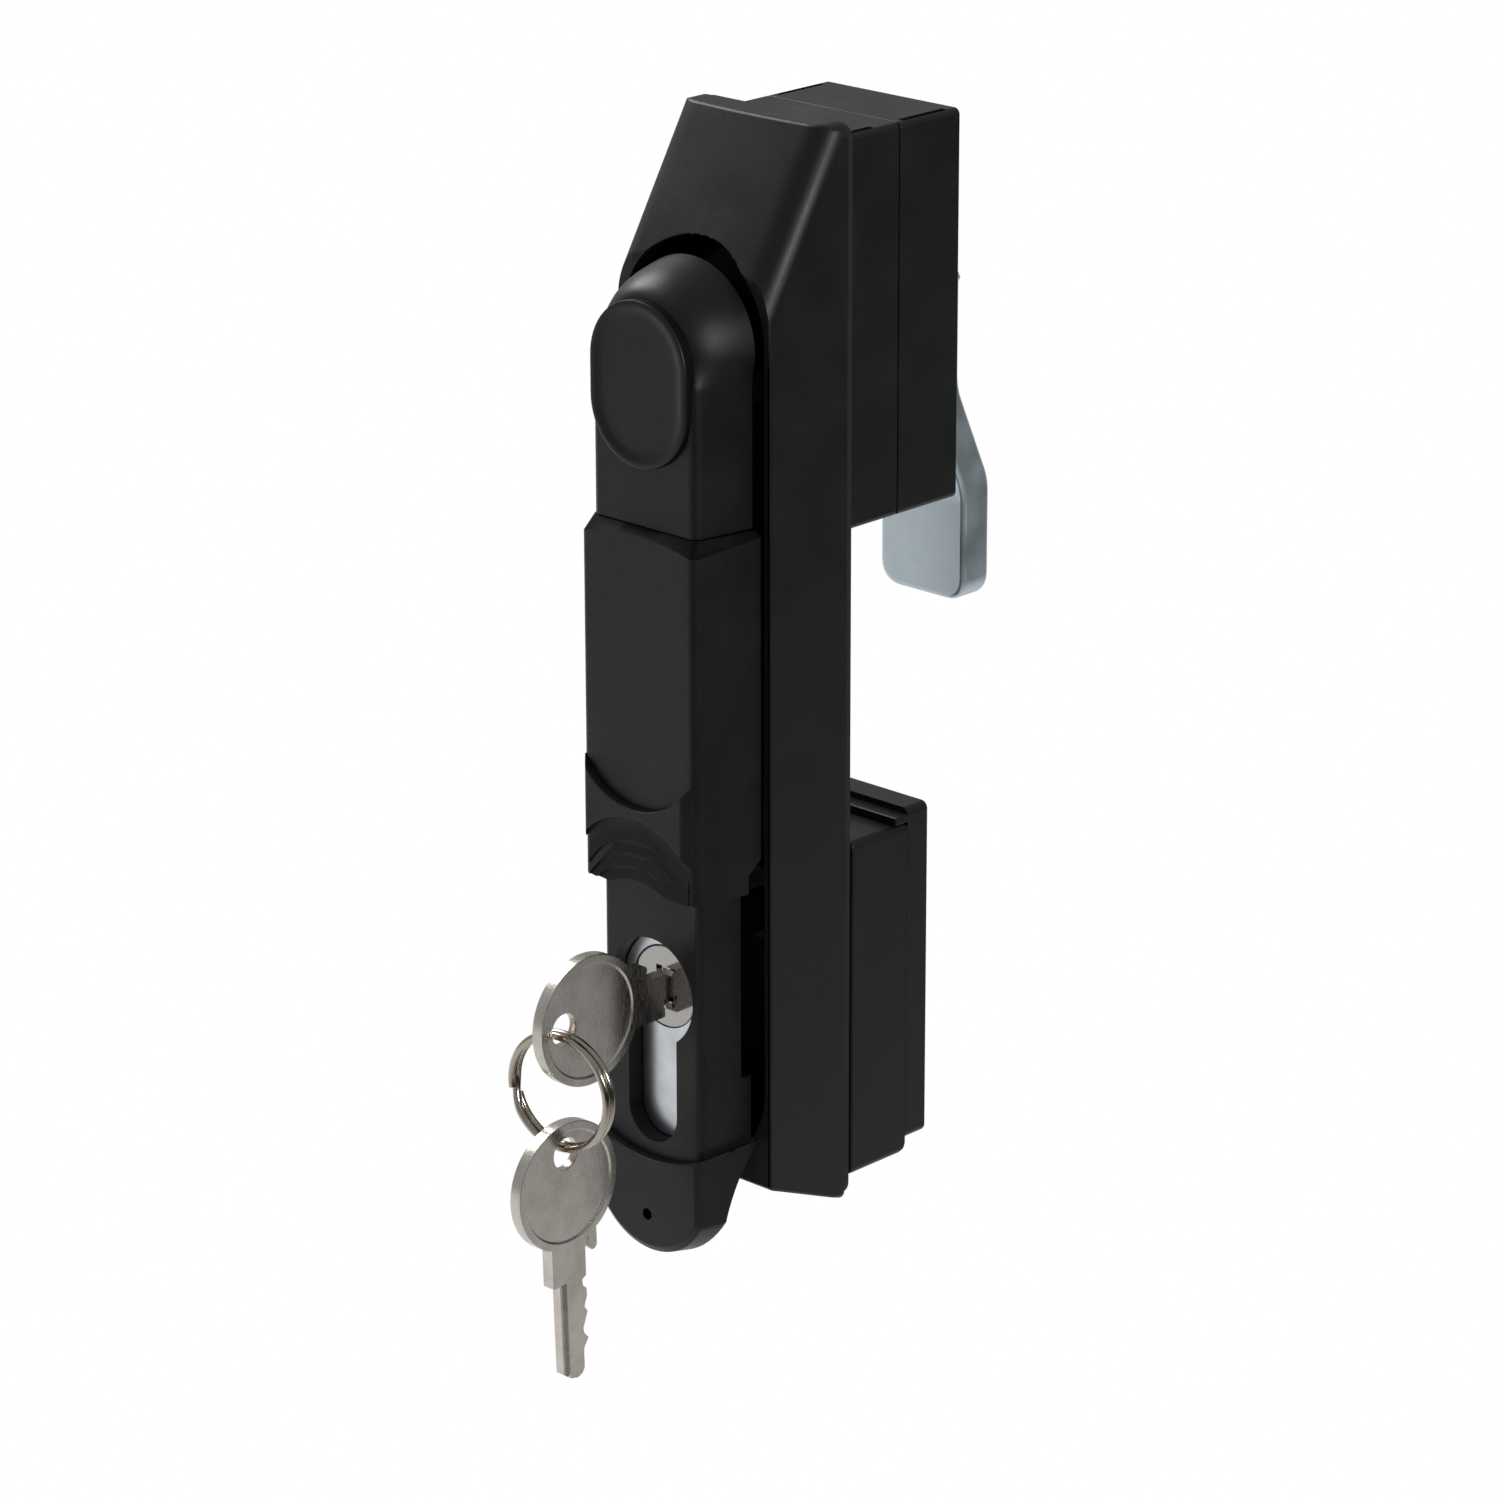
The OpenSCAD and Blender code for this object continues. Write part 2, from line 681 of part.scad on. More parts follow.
module spare_key() color(nickel)
    translate([-key_thick / 2, hole_y, spare_hole_z]) rotate([90, 90, 90])
        rotate([0, 0, spare_tilt]) translate([hole_reach, 0, 0])
            key_blank(40);

// Two turns of wire that touch each other
module split_ring() color(brassy)
    translate([0, hole_y, ring_z]) rotate([0, 0, ring_yaw]) rotate([90, 0, 0])
        rotate_extrude($fn = 96) for (s = [-1, 1])
            translate([ring_mid_r, s * wire_r * 0.96])
                circle(r = wire_r, $fn = 32);

dish();
dish_hood();
gasket();
keeper();
keeper_screw();
clamp_frame();
clamp_cap();
clamp_screw_1();
clamp_screw_2();
base_housing();
base_cover();
base_screw_1();
base_screw_2();
spindle();
cam();
cam_washer();
cam_screw();
handle();
cross_pin();
handle_cap();
lock_body();
lock_clip();
slide_cover();
key_plug();
lock_cam();
key();
split_ring();
spare_key();
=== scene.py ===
# Swinghandle lock for a cabinet door: its looks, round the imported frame.
# The frame's own axes: X to the right of the front, Y into the cabinet, Z up,
# with the origin on the axis of the key plug at the dish's back. Solids are
# written in millimetres, and MM turns them into the frame's metres.

import json
import math

import bmesh
import bpy
from mathutils import Matrix, Vector


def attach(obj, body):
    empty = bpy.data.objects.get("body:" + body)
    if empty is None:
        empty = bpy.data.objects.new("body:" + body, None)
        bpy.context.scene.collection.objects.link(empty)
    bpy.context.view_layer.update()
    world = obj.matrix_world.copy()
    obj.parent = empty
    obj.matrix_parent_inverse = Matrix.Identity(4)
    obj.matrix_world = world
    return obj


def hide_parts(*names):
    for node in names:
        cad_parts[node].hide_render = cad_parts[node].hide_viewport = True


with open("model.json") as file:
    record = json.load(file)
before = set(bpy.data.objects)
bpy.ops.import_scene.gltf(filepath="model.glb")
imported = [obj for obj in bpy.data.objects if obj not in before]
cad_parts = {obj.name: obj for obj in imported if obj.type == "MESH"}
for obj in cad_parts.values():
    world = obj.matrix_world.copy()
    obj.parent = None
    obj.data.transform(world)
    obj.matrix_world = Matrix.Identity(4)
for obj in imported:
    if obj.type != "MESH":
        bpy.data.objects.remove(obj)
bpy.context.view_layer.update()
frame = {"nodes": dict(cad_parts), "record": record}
MM = 0.001

# sizes and places that several pieces share, in mm
DISH_SIDE = 15.5                # half the width of dish and lower block
RIM_Y = -16.7                   # the dish's rim, its front
RAMP_Z = 112.2                  # where the ramp starts above the rim
RECESS = 14.2                   # half the width of the handle's recess
FOOT_Z, HEAD_Z = -15.5, 101.2   # middles of the recess's round ends
SPINDLE_Z = 100
PIN_Y = -15                     # the cross pin in the spindle
CLAMP_SCREW_Z = (78, 122)       # the upper blocks' screws, at x 0
BASE_SCREW_X, BASE_SCREW_Z = (-9.5, 9.5), -8
KEEPER_SCREW = (-2.6, 9.4)      # its x and z
BAR_LOW = -30.2                 # the bar's lower end, middle of the tip
CAP_Z = 95.5                    # middle of the oval cap
COVER_LOW, COVER_HIGH = 17.2, 73.6
HOLD_Z = 14.7                   # middle of the thumb hold's arcs
HOLE_Y, HOLE_Z = -45.8, -0.35   # hole in the bow of the key in the lock
BOW_TO_HOLE = 5.3
WIRE_DROP = 1.04                # the wire lies this far off a hole's middle
RING_RADIUS = 8.98              # mean


# ---------------------------------------------------------------- helpers
def srgb(code):
    """A hex colour as written on a colour card, turned to linear light."""
    out = []
    for i in (1, 3, 5):
        c = int(code[i:i + 2], 16) / 255
        out.append(c / 12.92 if c <= 0.04045 else ((c + 0.055) / 1.055) ** 2.4)
    return (*out, 1.0)


def add(tree, kind, settings=(), links=()):
    """Adds one node, sets its settings or sockets, and links its sockets."""
    made = tree.nodes.new(kind)
    for key, value in dict(settings).items():
        if isinstance(key, str) and hasattr(made, key):
            setattr(made, key, value)
        else:
            made.inputs[key].default_value = value
    for key, source in dict(links).items():
        tree.links.new(source, made.inputs[key])
    return made


def stops(ramp, *pairs):
    """Sets a colour ramp's stops to (position, hex colour) pairs."""
    band = ramp.color_ramp
    while len(band.elements) < len(pairs):
        band.elements.new(0.5)
    for element, (place, code) in zip(band.elements, pairs):
        element.position = place
        element.color = srgb(code)
    return ramp


def new_material(name):
    """An empty material with its tree, its output and a principled shader."""
    mat = bpy.data.materials.new(name)
    mat.use_nodes = True
    tree = mat.node_tree
    tree.nodes.clear()
    shader = add(tree, "ShaderNodeBsdfPrincipled")
    add(tree, "ShaderNodeOutputMaterial", {}, {"Surface": shader.outputs[0]})
    place = add(tree, "ShaderNodeTexCoord").outputs["Object"]
    return mat, tree, shader, place


def pick(*pieces):
    """Selects these pieces and nothing else, the first one active."""
    bpy.ops.object.select_all(action="DESELECT")
    for piece in pieces:
        piece.select_set(True)
    bpy.context.view_layer.objects.active = pieces[0]


# -------------------------------------------------------------- materials
def moulded_nylon():
    """Glass-filled polyamide, black, moulded in a spark-eroded tool: a low
    sheen with a fine even grain, a little mottled where the melt flowed."""
    mat, tree, shader, place = new_material("moulded_glass_filled_nylon")
    # flow marks 9 mm across
    flow = add(tree, "ShaderNodeTexNoise", {"Scale": 1 / (9 * MM), "Detail": 3.0},
               {"Vector": place})
    # eroded grain is about 0.1 mm; it is drawn at 0.32 mm so that it shows
    grain = add(tree, "ShaderNodeTexNoise",
                {"Scale": 1 / (0.32 * MM), "Detail": 2.0, "Roughness": 0.6},
                {"Vector": place})
    both = add(tree, "ShaderNodeMix", {"data_type": "FLOAT", 0: 0.55},
               {2: flow.outputs[0], 3: grain.outputs[0]})
    tint = stops(add(tree, "ShaderNodeValToRGB", {}, {0: both.outputs[0]}),
                 (0.3, "#0a0b0b"), (0.7, "#101111"))
    tree.links.new(tint.outputs[0], shader.inputs["Base Color"])
    rough = add(tree, "ShaderNodeMapRange",
                {1: 0.3, 2: 0.7, 3: 0.37, 4: 0.47}, {0: flow.outputs[0]})
    tree.links.new(rough.outputs[0], shader.inputs["Roughness"])
    bump = add(tree, "ShaderNodeBump", {"Strength": 0.6, "Distance": 0.03 * MM},
               {"Height": grain.outputs[0]})
    tree.links.new(bump.outputs[0], shader.inputs["Normal"])
    shader.inputs["IOR"].default_value = 1.48
    shader.inputs["Specular IOR Level"].default_value = 0.3
    return mat


def shade_paint_material():
    """Painted shade: the same nylon made nearly black, duller and with less
    sheen, put on faces that lie in shade so that the gaps beside the handle read
    black."""
    mat, _, shader, _ = new_material("nylon_painted_shade")
    shader.inputs["Base Color"].default_value = srgb("#050505")
    shader.inputs["Roughness"].default_value = 0.65
    shader.inputs["Specular IOR Level"].default_value = 0.1
    return mat


def cellular_rubber():
    """Closed-cell rubber of the gasket: dull black with small pores."""
    mat, tree, shader, place = new_material("cellular_rubber")
    pores = add(tree, "ShaderNodeTexVoronoi", {"Scale": 1 / (0.5 * MM)},
                {"Vector": place})
    tint = stops(add(tree, "ShaderNodeValToRGB", {}, {0: pores.outputs[0]}),
                 (0.0, "#0b0b0b"), (0.6, "#161617"))
    tree.links.new(tint.outputs[0], shader.inputs["Base Color"])
    bump = add(tree, "ShaderNodeBump", {"Strength": 0.6, "Distance": 0.05 * MM},
               {"Height": pores.outputs[0]})
    tree.links.new(bump.outputs[0], shader.inputs["Normal"])
    shader.inputs["Roughness"].default_value = 0.85
    return mat


def zinc_plating():
    """Blue-passivated zinc on steel: a cool grey, satin, slightly cloudy."""
    mat, tree, shader, place = new_material("blue_passivated_zinc")
    cloud = add(tree, "ShaderNodeTexNoise", {"Scale": 1 / (5 * MM), "Detail": 4.0},
                {"Vector": place})
    speck = add(tree, "ShaderNodeTexNoise",
                {"Scale": 1 / (0.35 * MM), "Detail": 2.0}, {"Vector": place})
    tint = stops(add(tree, "ShaderNodeValToRGB", {}, {0: cloud.outputs[0]}),
                 (0.25, "#adb9be"), (0.75, "#c3cdd1"))
    tree.links.new(tint.outputs[0], shader.inputs["Base Color"])
    rough = add(tree, "ShaderNodeMapRange",
                {1: 0.3, 2: 0.7, 3: 0.34, 4: 0.44}, {0: cloud.outputs[0]})
    tree.links.new(rough.outputs[0], shader.inputs["Roughness"])
    bump = add(tree, "ShaderNodeBump", {"Strength": 0.2, "Distance": 0.01 * MM},
               {"Height": speck.outputs[0]})
    tree.links.new(bump.outputs[0], shader.inputs["Normal"])
    shader.inputs["Metallic"].default_value = 1.0
    return mat


def blackened_steel():
    """Black-passivated zinc on the hidden steel parts: dull, nearly black."""
    mat, tree, shader, place = new_material("black_passivated_zinc")
    cloud = add(tree, "ShaderNodeTexNoise", {"Scale": 1 / (2 * MM), "Detail": 3.0},
                {"Vector": place})
    tint = stops(add(tree, "ShaderNodeValToRGB", {}, {0: cloud.outputs[0]}),
                 (0.3, "#0c0c0d"), (0.7, "#141415"))
    tree.links.new(tint.outputs[0], shader.inputs["Base Color"])
    rough = add(tree, "ShaderNodeMapRange",
                {1: 0.3, 2: 0.7, 3: 0.5, 4: 0.62}, {0: cloud.outputs[0]})
    tree.links.new(rough.outputs[0], shader.inputs["Roughness"])
    shader.inputs["Specular IOR Level"].default_value = 0.2
    return mat


def bright_screw():
    """Bright zinc-plated screw steel: clean and a little scuffed."""
    mat, tree, shader, place = new_material("bright_plated_steel")
    scuff = add(tree, "ShaderNodeTexNoise", {"Scale": 1 / (3 * MM), "Detail": 2.0},
                {"Vector": place})
    tint = stops(add(tree, "ShaderNodeValToRGB", {}, {0: scuff.outputs[0]}),
                 (0.3, "#b9bcbe"), (0.7, "#c9cbcc"))
    tree.links.new(tint.outputs[0], shader.inputs["Base Color"])
    rough = add(tree, "ShaderNodeMapRange",
                {1: 0.3, 2: 0.7, 3: 0.3, 4: 0.36}, {0: scuff.outputs[0]})
    tree.links.new(rough.outputs[0], shader.inputs["Roughness"])
    shader.inputs["Metallic"].default_value = 1.0
    return mat


def satin_nickel():
    """Nickel plating on the cast lock body: pale, softly blasted."""
    mat, tree, shader, place = new_material("satin_nickel_plating")
    blast = add(tree, "ShaderNodeTexNoise",
                {"Scale": 1 / (0.3 * MM), "Detail": 2.0}, {"Vector": place})
    cloud = add(tree, "ShaderNodeTexNoise", {"Scale": 1 / (4 * MM), "Detail": 2.0},
                {"Vector": place})
    tint = stops(add(tree, "ShaderNodeValToRGB", {}, {0: cloud.outputs[0]}),
                 (0.3, "#bfc1c6"), (0.7, "#d2d4d8"))
    tree.links.new(tint.outputs[0], shader.inputs["Base Color"])
    bump = add(tree, "ShaderNodeBump", {"Strength": 0.25, "Distance": 0.01 * MM},
               {"Height": blast.outputs[0]})
    tree.links.new(bump.outputs[0], shader.inputs["Normal"])
    shader.inputs["Metallic"].default_value = 1.0
    shader.inputs["Roughness"].default_value = 0.3
    return mat


def mirror_nickel():
    """Polished nickel of the plug's face: nearly a mirror, finest scratches."""
    mat, tree, shader, place = new_material("polished_nickel")
    haze = add(tree, "ShaderNodeTexNoise", {"Scale": 1 / (1.5 * MM), "Detail": 4.0},
               {"Vector": place})
    rough = add(tree, "ShaderNodeMapRange",
                {1: 0.3, 2: 0.7, 3: 0.06, 4: 0.14}, {0: haze.outputs[0]})
    tree.links.new(rough.outputs[0], shader.inputs["Roughness"])
    shader.inputs["Base Color"].default_value = srgb("#a3a19d")
    shader.inputs["Metallic"].default_value = 1.0
    return mat


def key_nickel():
    """Nickel-plated brass key stamping: slightly warm, brushed flat by its
    tumbling, with fine marks along the blade."""
    mat, tree, shader, place = new_material("tumbled_key_nickel")
    turn = add(tree, "ShaderNodeMapping", {"Scale": (1.0, 1.0, 0.12)},
               {"Vector": place})
    marks = add(tree, "ShaderNodeTexNoise",
                {"Scale": 1 / (0.25 * MM), "Detail": 3.0},
                {"Vector": turn.outputs[0]})
    cloud = add(tree, "ShaderNodeTexNoise",
                {"Scale": 1 / (3.5 * MM), "Detail": 3.0}, {"Vector": place})
    tint = stops(add(tree, "ShaderNodeValToRGB", {}, {0: cloud.outputs[0]}),
                 (0.3, "#b9b2a9"), (0.7, "#cbc5bd"))
    tree.links.new(tint.outputs[0], shader.inputs["Base Color"])
    rough = add(tree, "ShaderNodeMapRange",
                {1: 0.3, 2: 0.7, 3: 0.2, 4: 0.32}, {0: marks.outputs[0]})
    tree.links.new(rough.outputs[0], shader.inputs["Roughness"])
    bump = add(tree, "ShaderNodeBump", {"Strength": 0.15, "Distance": 0.004 * MM},
               {"Height": marks.outputs[0]})
    tree.links.new(bump.outputs[0], shader.inputs["Normal"])
    shader.inputs["Metallic"].default_value = 1.0
    return mat


def ring_wire():
    """Hard-drawn nickel-plated wire of the split ring: bright and smooth."""
    mat, tree, shader, place = new_material("nickel_plated_wire")
    draw = add(tree, "ShaderNodeTexNoise", {"Scale": 1 / (0.6 * MM), "Detail": 2.0},
               {"Vector": place})
    rough = add(tree, "ShaderNodeMapRange",
                {1: 0.3, 2: 0.7, 3: 0.12, 4: 0.22}, {0: draw.outputs[0]})
    tree.links.new(rough.outputs[0], shader.inputs["Roughness"])
    shader.inputs["Base Color"].default_value = srgb("#aba296")
    shader.inputs["Metallic"].default_value = 1.0
    return mat


nylon = moulded_nylon()
rubber = cellular_rubber()
zinc = zinc_plating()
black_zinc = blackened_steel()
# painted shade: a near-black nylon for faces that lie in shade
shade_paint_nylon = shade_paint_material()
screw_steel = bright_screw()
satin = satin_nickel()
mirror = mirror_nickel()
key_metal = key_nickel()
wire = ring_wire()

finishes = {
    "dish": nylon, "dish_hood": nylon, "gasket": rubber, "keeper": black_zinc,
    "keeper_screw": screw_steel, "clamp_frame": nylon, "clamp_cap": nylon,
    "clamp_screw_1": screw_steel, "clamp_screw_2": screw_steel,
    "base_housing": nylon, "base_cover": nylon, "base_screw_1": screw_steel,
    "base_screw_2": screw_steel, "spindle": black_zinc, "cam": zinc,
    "cam_washer": screw_steel, "cam_screw": screw_steel, "handle": nylon,
    "cross_pin": screw_steel, "handle_cap": nylon, "lock_body": satin,
    "lock_clip": screw_steel, "slide_cover": nylon, "key_plug": mirror,
    "lock_cam": zinc, "key": key_metal, "split_ring": wire,
    "spare_key": key_metal,
}


def finish_with(piece, mat):
    """Gives a piece one material."""
    piece.data.materials.clear()
    piece.data.materials.append(mat)


body_of = {}
for body, members in frame["record"]["behaviour"]["bodies"].items():
    for member in members:
        body_of[member] = body
for name, solid in frame["nodes"].items():
    finish_with(solid, finishes[name])


# ------------------------------------------------------ edges and shading
def anywhere(x, y, z):
    return True


def sharp_edges(piece, where, least=28, longer=0.0):
    """Selects the piece's edges sharper than an angle in degrees and longer
    than some millimetres, where a test of their middle in mm says so."""
    mesh = bmesh.new()
    mesh.from_mesh(piece.data)
    for part in (mesh.verts, mesh.edges, mesh.faces):
        for one in part:
            one.select = False
    for edge in mesh.edges:
        if len(edge.link_faces) != 2 or edge.calc_length() < longer * MM:
            continue
        if edge.calc_face_angle() < math.radians(least):
            continue
        a, b = (v.co / MM for v in edge.verts)
        if where(*((a + b) / 2)):
            edge.select_set(True)
    mesh.to_mesh(piece.data)
    mesh.free()


def round_edges(piece, width, where, least=28, longer=0.0, segments=3):
    """Rounds the sharp edges that a test picks, to a width in mm."""
    sharp_edges(piece, where, least, longer)
    pick(piece)
    bpy.context.tool_settings.mesh_select_mode = (False, True, False)
    bpy.ops.object.mode_set(mode="EDIT")
    bpy.ops.mesh.bevel(offset=width * MM, segments=segments, affect="EDGES",
                       clamp_overlap=False, miter_outer="ARC", loop_slide=False)
    bpy.ops.object.mode_set(mode="OBJECT")


def smooth(piece, angle=32):
    """Smooth shading, flat faces kept flat and sharp edges kept crisp."""
    pick(piece)
    bpy.ops.object.shade_smooth_by_angle(angle=math.radians(angle))
    even = piece.modifiers.new("even", "WEIGHTED_NORMAL")
    even.mode = "FACE_AREA"
    even.weight = 60
    even.keep_sharp = True
    bpy.ops.object.modifier_apply(modifier=even.name)


# --------------------------------------------------- outlines and solids
def arc(x, z, radius, start, end, steps):
    """Points on an arc in front view; angles in degrees from +X to +Z."""
    turns = [math.radians(start + (end - start) * k / steps)
             for k in range(steps + 1)]
    return [(x + radius * math.cos(t), z + radius * math.sin(t)) for t in turns]


def steepness(side, radius):
    """The angle in degrees at which a circle reaches this far to the side."""
    return math.degrees(math.acos(side / radius))


def round_box(x0, x1, z0, z1, low, high, steps=6):
    """A rectangle with two lower and two upper corners of their own radius."""
    return (arc(x0 + low, z0 + low, low, 180, 270, steps)
            + arc(x1 - low, z0 + low, low, 270, 360, steps)
            + arc(x1 - high, z1 - high, high, 0, 90, steps)
            + arc(x0 + high, z1 - high, high, 90, 180, steps))


def soft(points, width, steps=4):
    """An outline in a plane with each corner drawn round, by a width in mm
    for each corner (0 leaves it sharp)."""
    out = []
    for k, corner in enumerate(points):
        if not width[k]:
            out.append(corner)
            continue
        here = Vector(corner)
        before, after = Vector(points[k - 1]), Vector(points[(k + 1) % len(points)])
        start = here + (before - here).normalized() * width[k]
        end = here + (after - here).normalized() * width[k]
        for j in range(steps + 1):
            t = j / steps
            out.append(tuple(start * (1 - t) ** 2 + here * 2 * t * (1 - t)
                             + end * t * t))
    return out


def front(points, *depths):
    """Rings of one outline in X and Z at several depths in Y."""
    return [[(x, y, z) for x, z in points] for y in depths]


def upright(points, *heights):
    """Rings of one outline in X and Y at several heights in Z."""
    return [[(x, y, z) for x, y in points] for z in heights]


def sideways(points, *places):
    """Rings of one outline in Y and Z at several places in X."""
    return [[(x, y, z) for y, z in points] for x in places]


def closed(piece):
    """Merges doubles and points all faces outwards."""
    pick(piece)
    bpy.ops.object.mode_set(mode="EDIT")
    bpy.ops.mesh.select_all(action="SELECT")
    bpy.ops.mesh.remove_doubles(threshold=0.002 * MM)
    bpy.ops.mesh.normals_make_consistent(inside=False)
    bpy.ops.object.mode_set(mode="OBJECT")
    bpy.ops.object.transform_apply(location=True, rotation=True, scale=True)
    return piece


def drawn(name, rings):
    """A closed solid from rings of points in mm, all of one length: a circle
    is added, its points are put on the first ring, and it is extruded."""
    bpy.ops.object.select_all(action="DESELECT")
    bpy.ops.mesh.primitive_circle_add(vertices=len(rings[0]), fill_type="NGON")
    piece = bpy.context.object
    piece.name = name
    for vertex, point in zip(piece.data.vertices, rings[0]):
        vertex.co = Vector(point) * MM
    # extruding doesn't keep the points' order: each edge that it raises says
    # which place on the ring its new point takes
    place = {k: k for k in range(len(rings[0]))}
    for ring in rings[1:]:
        before = len(piece.data.vertices)
        bpy.ops.object.mode_set(mode="EDIT")
        bpy.ops.mesh.extrude_region_move()
        bpy.ops.object.mode_set(mode="OBJECT")
        risen = {}
        for edge in piece.data.edges:
            old, new = sorted(edge.vertices)
            if old in place and new >= before:
                risen[new] = place[old]
        for index, k in risen.items():
            piece.data.vertices[index].co = Vector(ring[k]) * MM
        place = risen
    return closed(piece)


def rod(name, radius, y0, y1, x=0.0, z=0.0, steps=64):
    """A round bar along Y."""
    bpy.ops.object.select_all(action="DESELECT")
    bpy.ops.mesh.primitive_cylinder_add(
        vertices=steps, radius=radius * MM, depth=(y1 - y0) * MM,
        location=(x * MM, (y0 + y1) / 2 * MM, z * MM), rotation=(math.pi / 2, 0, 0))
    bpy.context.object.name = name
    return closed(bpy.context.object)


def cross_rod(name, radius, left, right, y, z, steps=48):
    """A round bar along X."""
    bar = rod(name, radius, -right, -left, 0, 0, steps)
    bar.data.transform(Matrix.Translation(Vector((0, y, z)) * MM)
                       @ Matrix.Rotation(math.pi / 2, 4, "Z"))
    return closed(bar)


def slab(name, low, high):
    """A box between two corners."""
    size = Vector(high) - Vector(low)
    bpy.ops.object.select_all(action="DESELECT")
    bpy.ops.mesh.primitive_cube_add(
        size=1, location=(Vector(low) + Vector(high)) / 2 * MM, scale=size * MM)
    bpy.context.object.name = name
    return closed(bpy.context.object)


def combine(piece, other, operation="DIFFERENCE"):
    """Cuts another solid out of a piece, or joins it to the piece."""
    step = piece.modifiers.new("step", "BOOLEAN")
    step.operation = operation
    step.solver = "EXACT"
    step.object = other
    pick(piece)
    bpy.ops.object.modifier_apply(modifier=step.name)
    bpy.data.objects.remove(other)


def put_together(piece, other):
    """Adds another solid to a piece as a shell of its own."""
    pick(piece, other)
    bpy.ops.object.join()


def trim(piece, point, normal, fill=True):
    """Cuts off what lies beyond a plane and closes the cut, or with no fill
    only draws the cut's edges."""
    pick(piece)
    bpy.ops.object.mode_set(mode="EDIT")
    bpy.ops.mesh.select_all(action="SELECT")
    bpy.ops.mesh.bisect(plane_co=Vector(point) * MM,
                        plane_no=Vector(normal).normalized(),
                        use_fill=fill, clear_outer=fill, threshold=1e-7)
    bpy.ops.object.mode_set(mode="OBJECT")


def stands_for(piece, node):
    """The piece takes a CAD node's finish, body and place."""
    finish_with(piece, finishes[node])
    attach(piece, body_of[node])
    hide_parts(node)
    smooth(piece)


def paint_shade_on(piece, where):
    """Paints shade on the faces that a test picks: they take the near-black nylon
    of painted shade.
    """
    piece.data.materials.append(shade_paint_nylon)
    for face in piece.data.polygons:
        if where(*(face.center / MM), face.normal):
            face.material_index = 1


# ------------------------------------------------------------------- dish
def curve_ramp(piece, slope):
    """Cuts the ramp into strips, evenly round the recess and ever closer to
    both sides, and lowers them to a slight crown with round side edges."""
    crown, edge, edge_from = 0.7, 4.1, 11.4
    sides = [10.4, 11.4, 12.3, 13.1, 13.8, 14.4, 14.85, 15.15, 15.38]
    inner = [RECESS * math.cos(math.radians(7.5 * k)) for k in range(7, 18)]
    for x in inner + [-x for x in sides] + sides:
        trim(piece, (x, 0, 0), (1, 0, 0), fill=False)
    for vertex in piece.data.vertices:
        x, y, z = vertex.co / MM
        away = Vector((0, y - RIM_Y, z - RAMP_Z)).dot(slope)
        if abs(away) > 0.01 or z < RAMP_Z - 0.1:
            continue
        over = min(edge, max(0.0, abs(x) - edge_from))
        drop = (crown * (x / DISH_SIDE) ** 2
                + edge - math.sqrt(edge ** 2 - over ** 2))
        # the ramp's foot slides down the rim, its head back along the top
        if z < RAMP_Z + 0.1:
            vertex.co.z -= drop / slope.z * MM
        else:
            vertex.co.y += drop / -slope.y * MM


def dish_outer_edge(x, y, z):
    """The rim's edges, the foot's sloping edges and the edge on top."""
    on_rim = y < -16.6 and (abs(x) > 15.4 or z < -31)
    return on_rim or z > 131.9 and y < -3 or z < -31 and -16.6 < y < -0.5


def recess_edge(x, y, z):
    """The edge round the opening in front."""
    wall = abs(abs(x) - RECESS) < 0.02
    head = abs(math.hypot(x, z - HEAD_Z) - RECESS) < 0.1 and z > 101
    foot = abs(math.hypot(x, z - FOOT_Z) - RECESS) < 0.1 and z < -15
    return y < -4 and (wall or head or foot)


def inside_recess(x, y, z, normal):
    return (abs(x) < 14.3 and -16.4 < y < -1.9 and z > -30
            and (z < 101 or math.hypot(x, z - HEAD_Z) < 14.3))


def make_dish():
    """The dish: a trough with a ramp above, where the handle's head turns,
    and tubes behind for the spindle and the screws."""
    piece = drawn("dish_shell", front(
        round_box(-DISH_SIDE, DISH_SIDE, -38.2, 132, 1.5, 2.6), 0, RIM_Y))
    trim(piece, (0, RIM_Y, -31.3), (0, -6.9, -16.7))
    slope = Vector((0, -19.8, 11.9)).normalized()
    trim(piece, (0, RIM_Y, RAMP_Z), slope)
    curve_ramp(piece, slope)
    combine(piece, drawn("trough", front(
        arc(0, FOOT_Z, RECESS, 180, 360, 40) + arc(0, HEAD_Z, RECESS, 0, 180, 72),
        -30, -2.5)))
    round_edges(piece, 0.45, dish_outer_edge, longer=0.05)
    round_edges(piece, 0.25, recess_edge, segments=2)
    tubes = [(0, SPINDLE_Z, 9, 7, 12.6)]
    tubes += [(0, z, 4, 1.7, 12.6) for z in CLAMP_SCREW_Z]
    tubes += [(x, BASE_SCREW_Z, 3.8, 1.7, 11.4) for x in BASE_SCREW_X]
    for x, z, radius, bore, end in tubes:
        through = z == SPINDLE_Z
        tube = rod("tube", radius, 0.0, end, x, z, 48)
        combine(tube, rod("bore", bore, -1 if through else 1, 14, x, z, 48))
        if through:
            combine(piece, rod("bore", bore, -5, 1, x, z, 48))
        put_together(piece, tube)
    combine(piece, rod("bore", 2.05, -5, 2, *KEEPER_SCREW, 32))
    stands_for(piece, "dish")
    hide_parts("dish_hood")
    # painted shade: the faces inside the recess, which lie in shade, take the
    # near-black nylon
    paint_shade_on(piece, inside_recess)


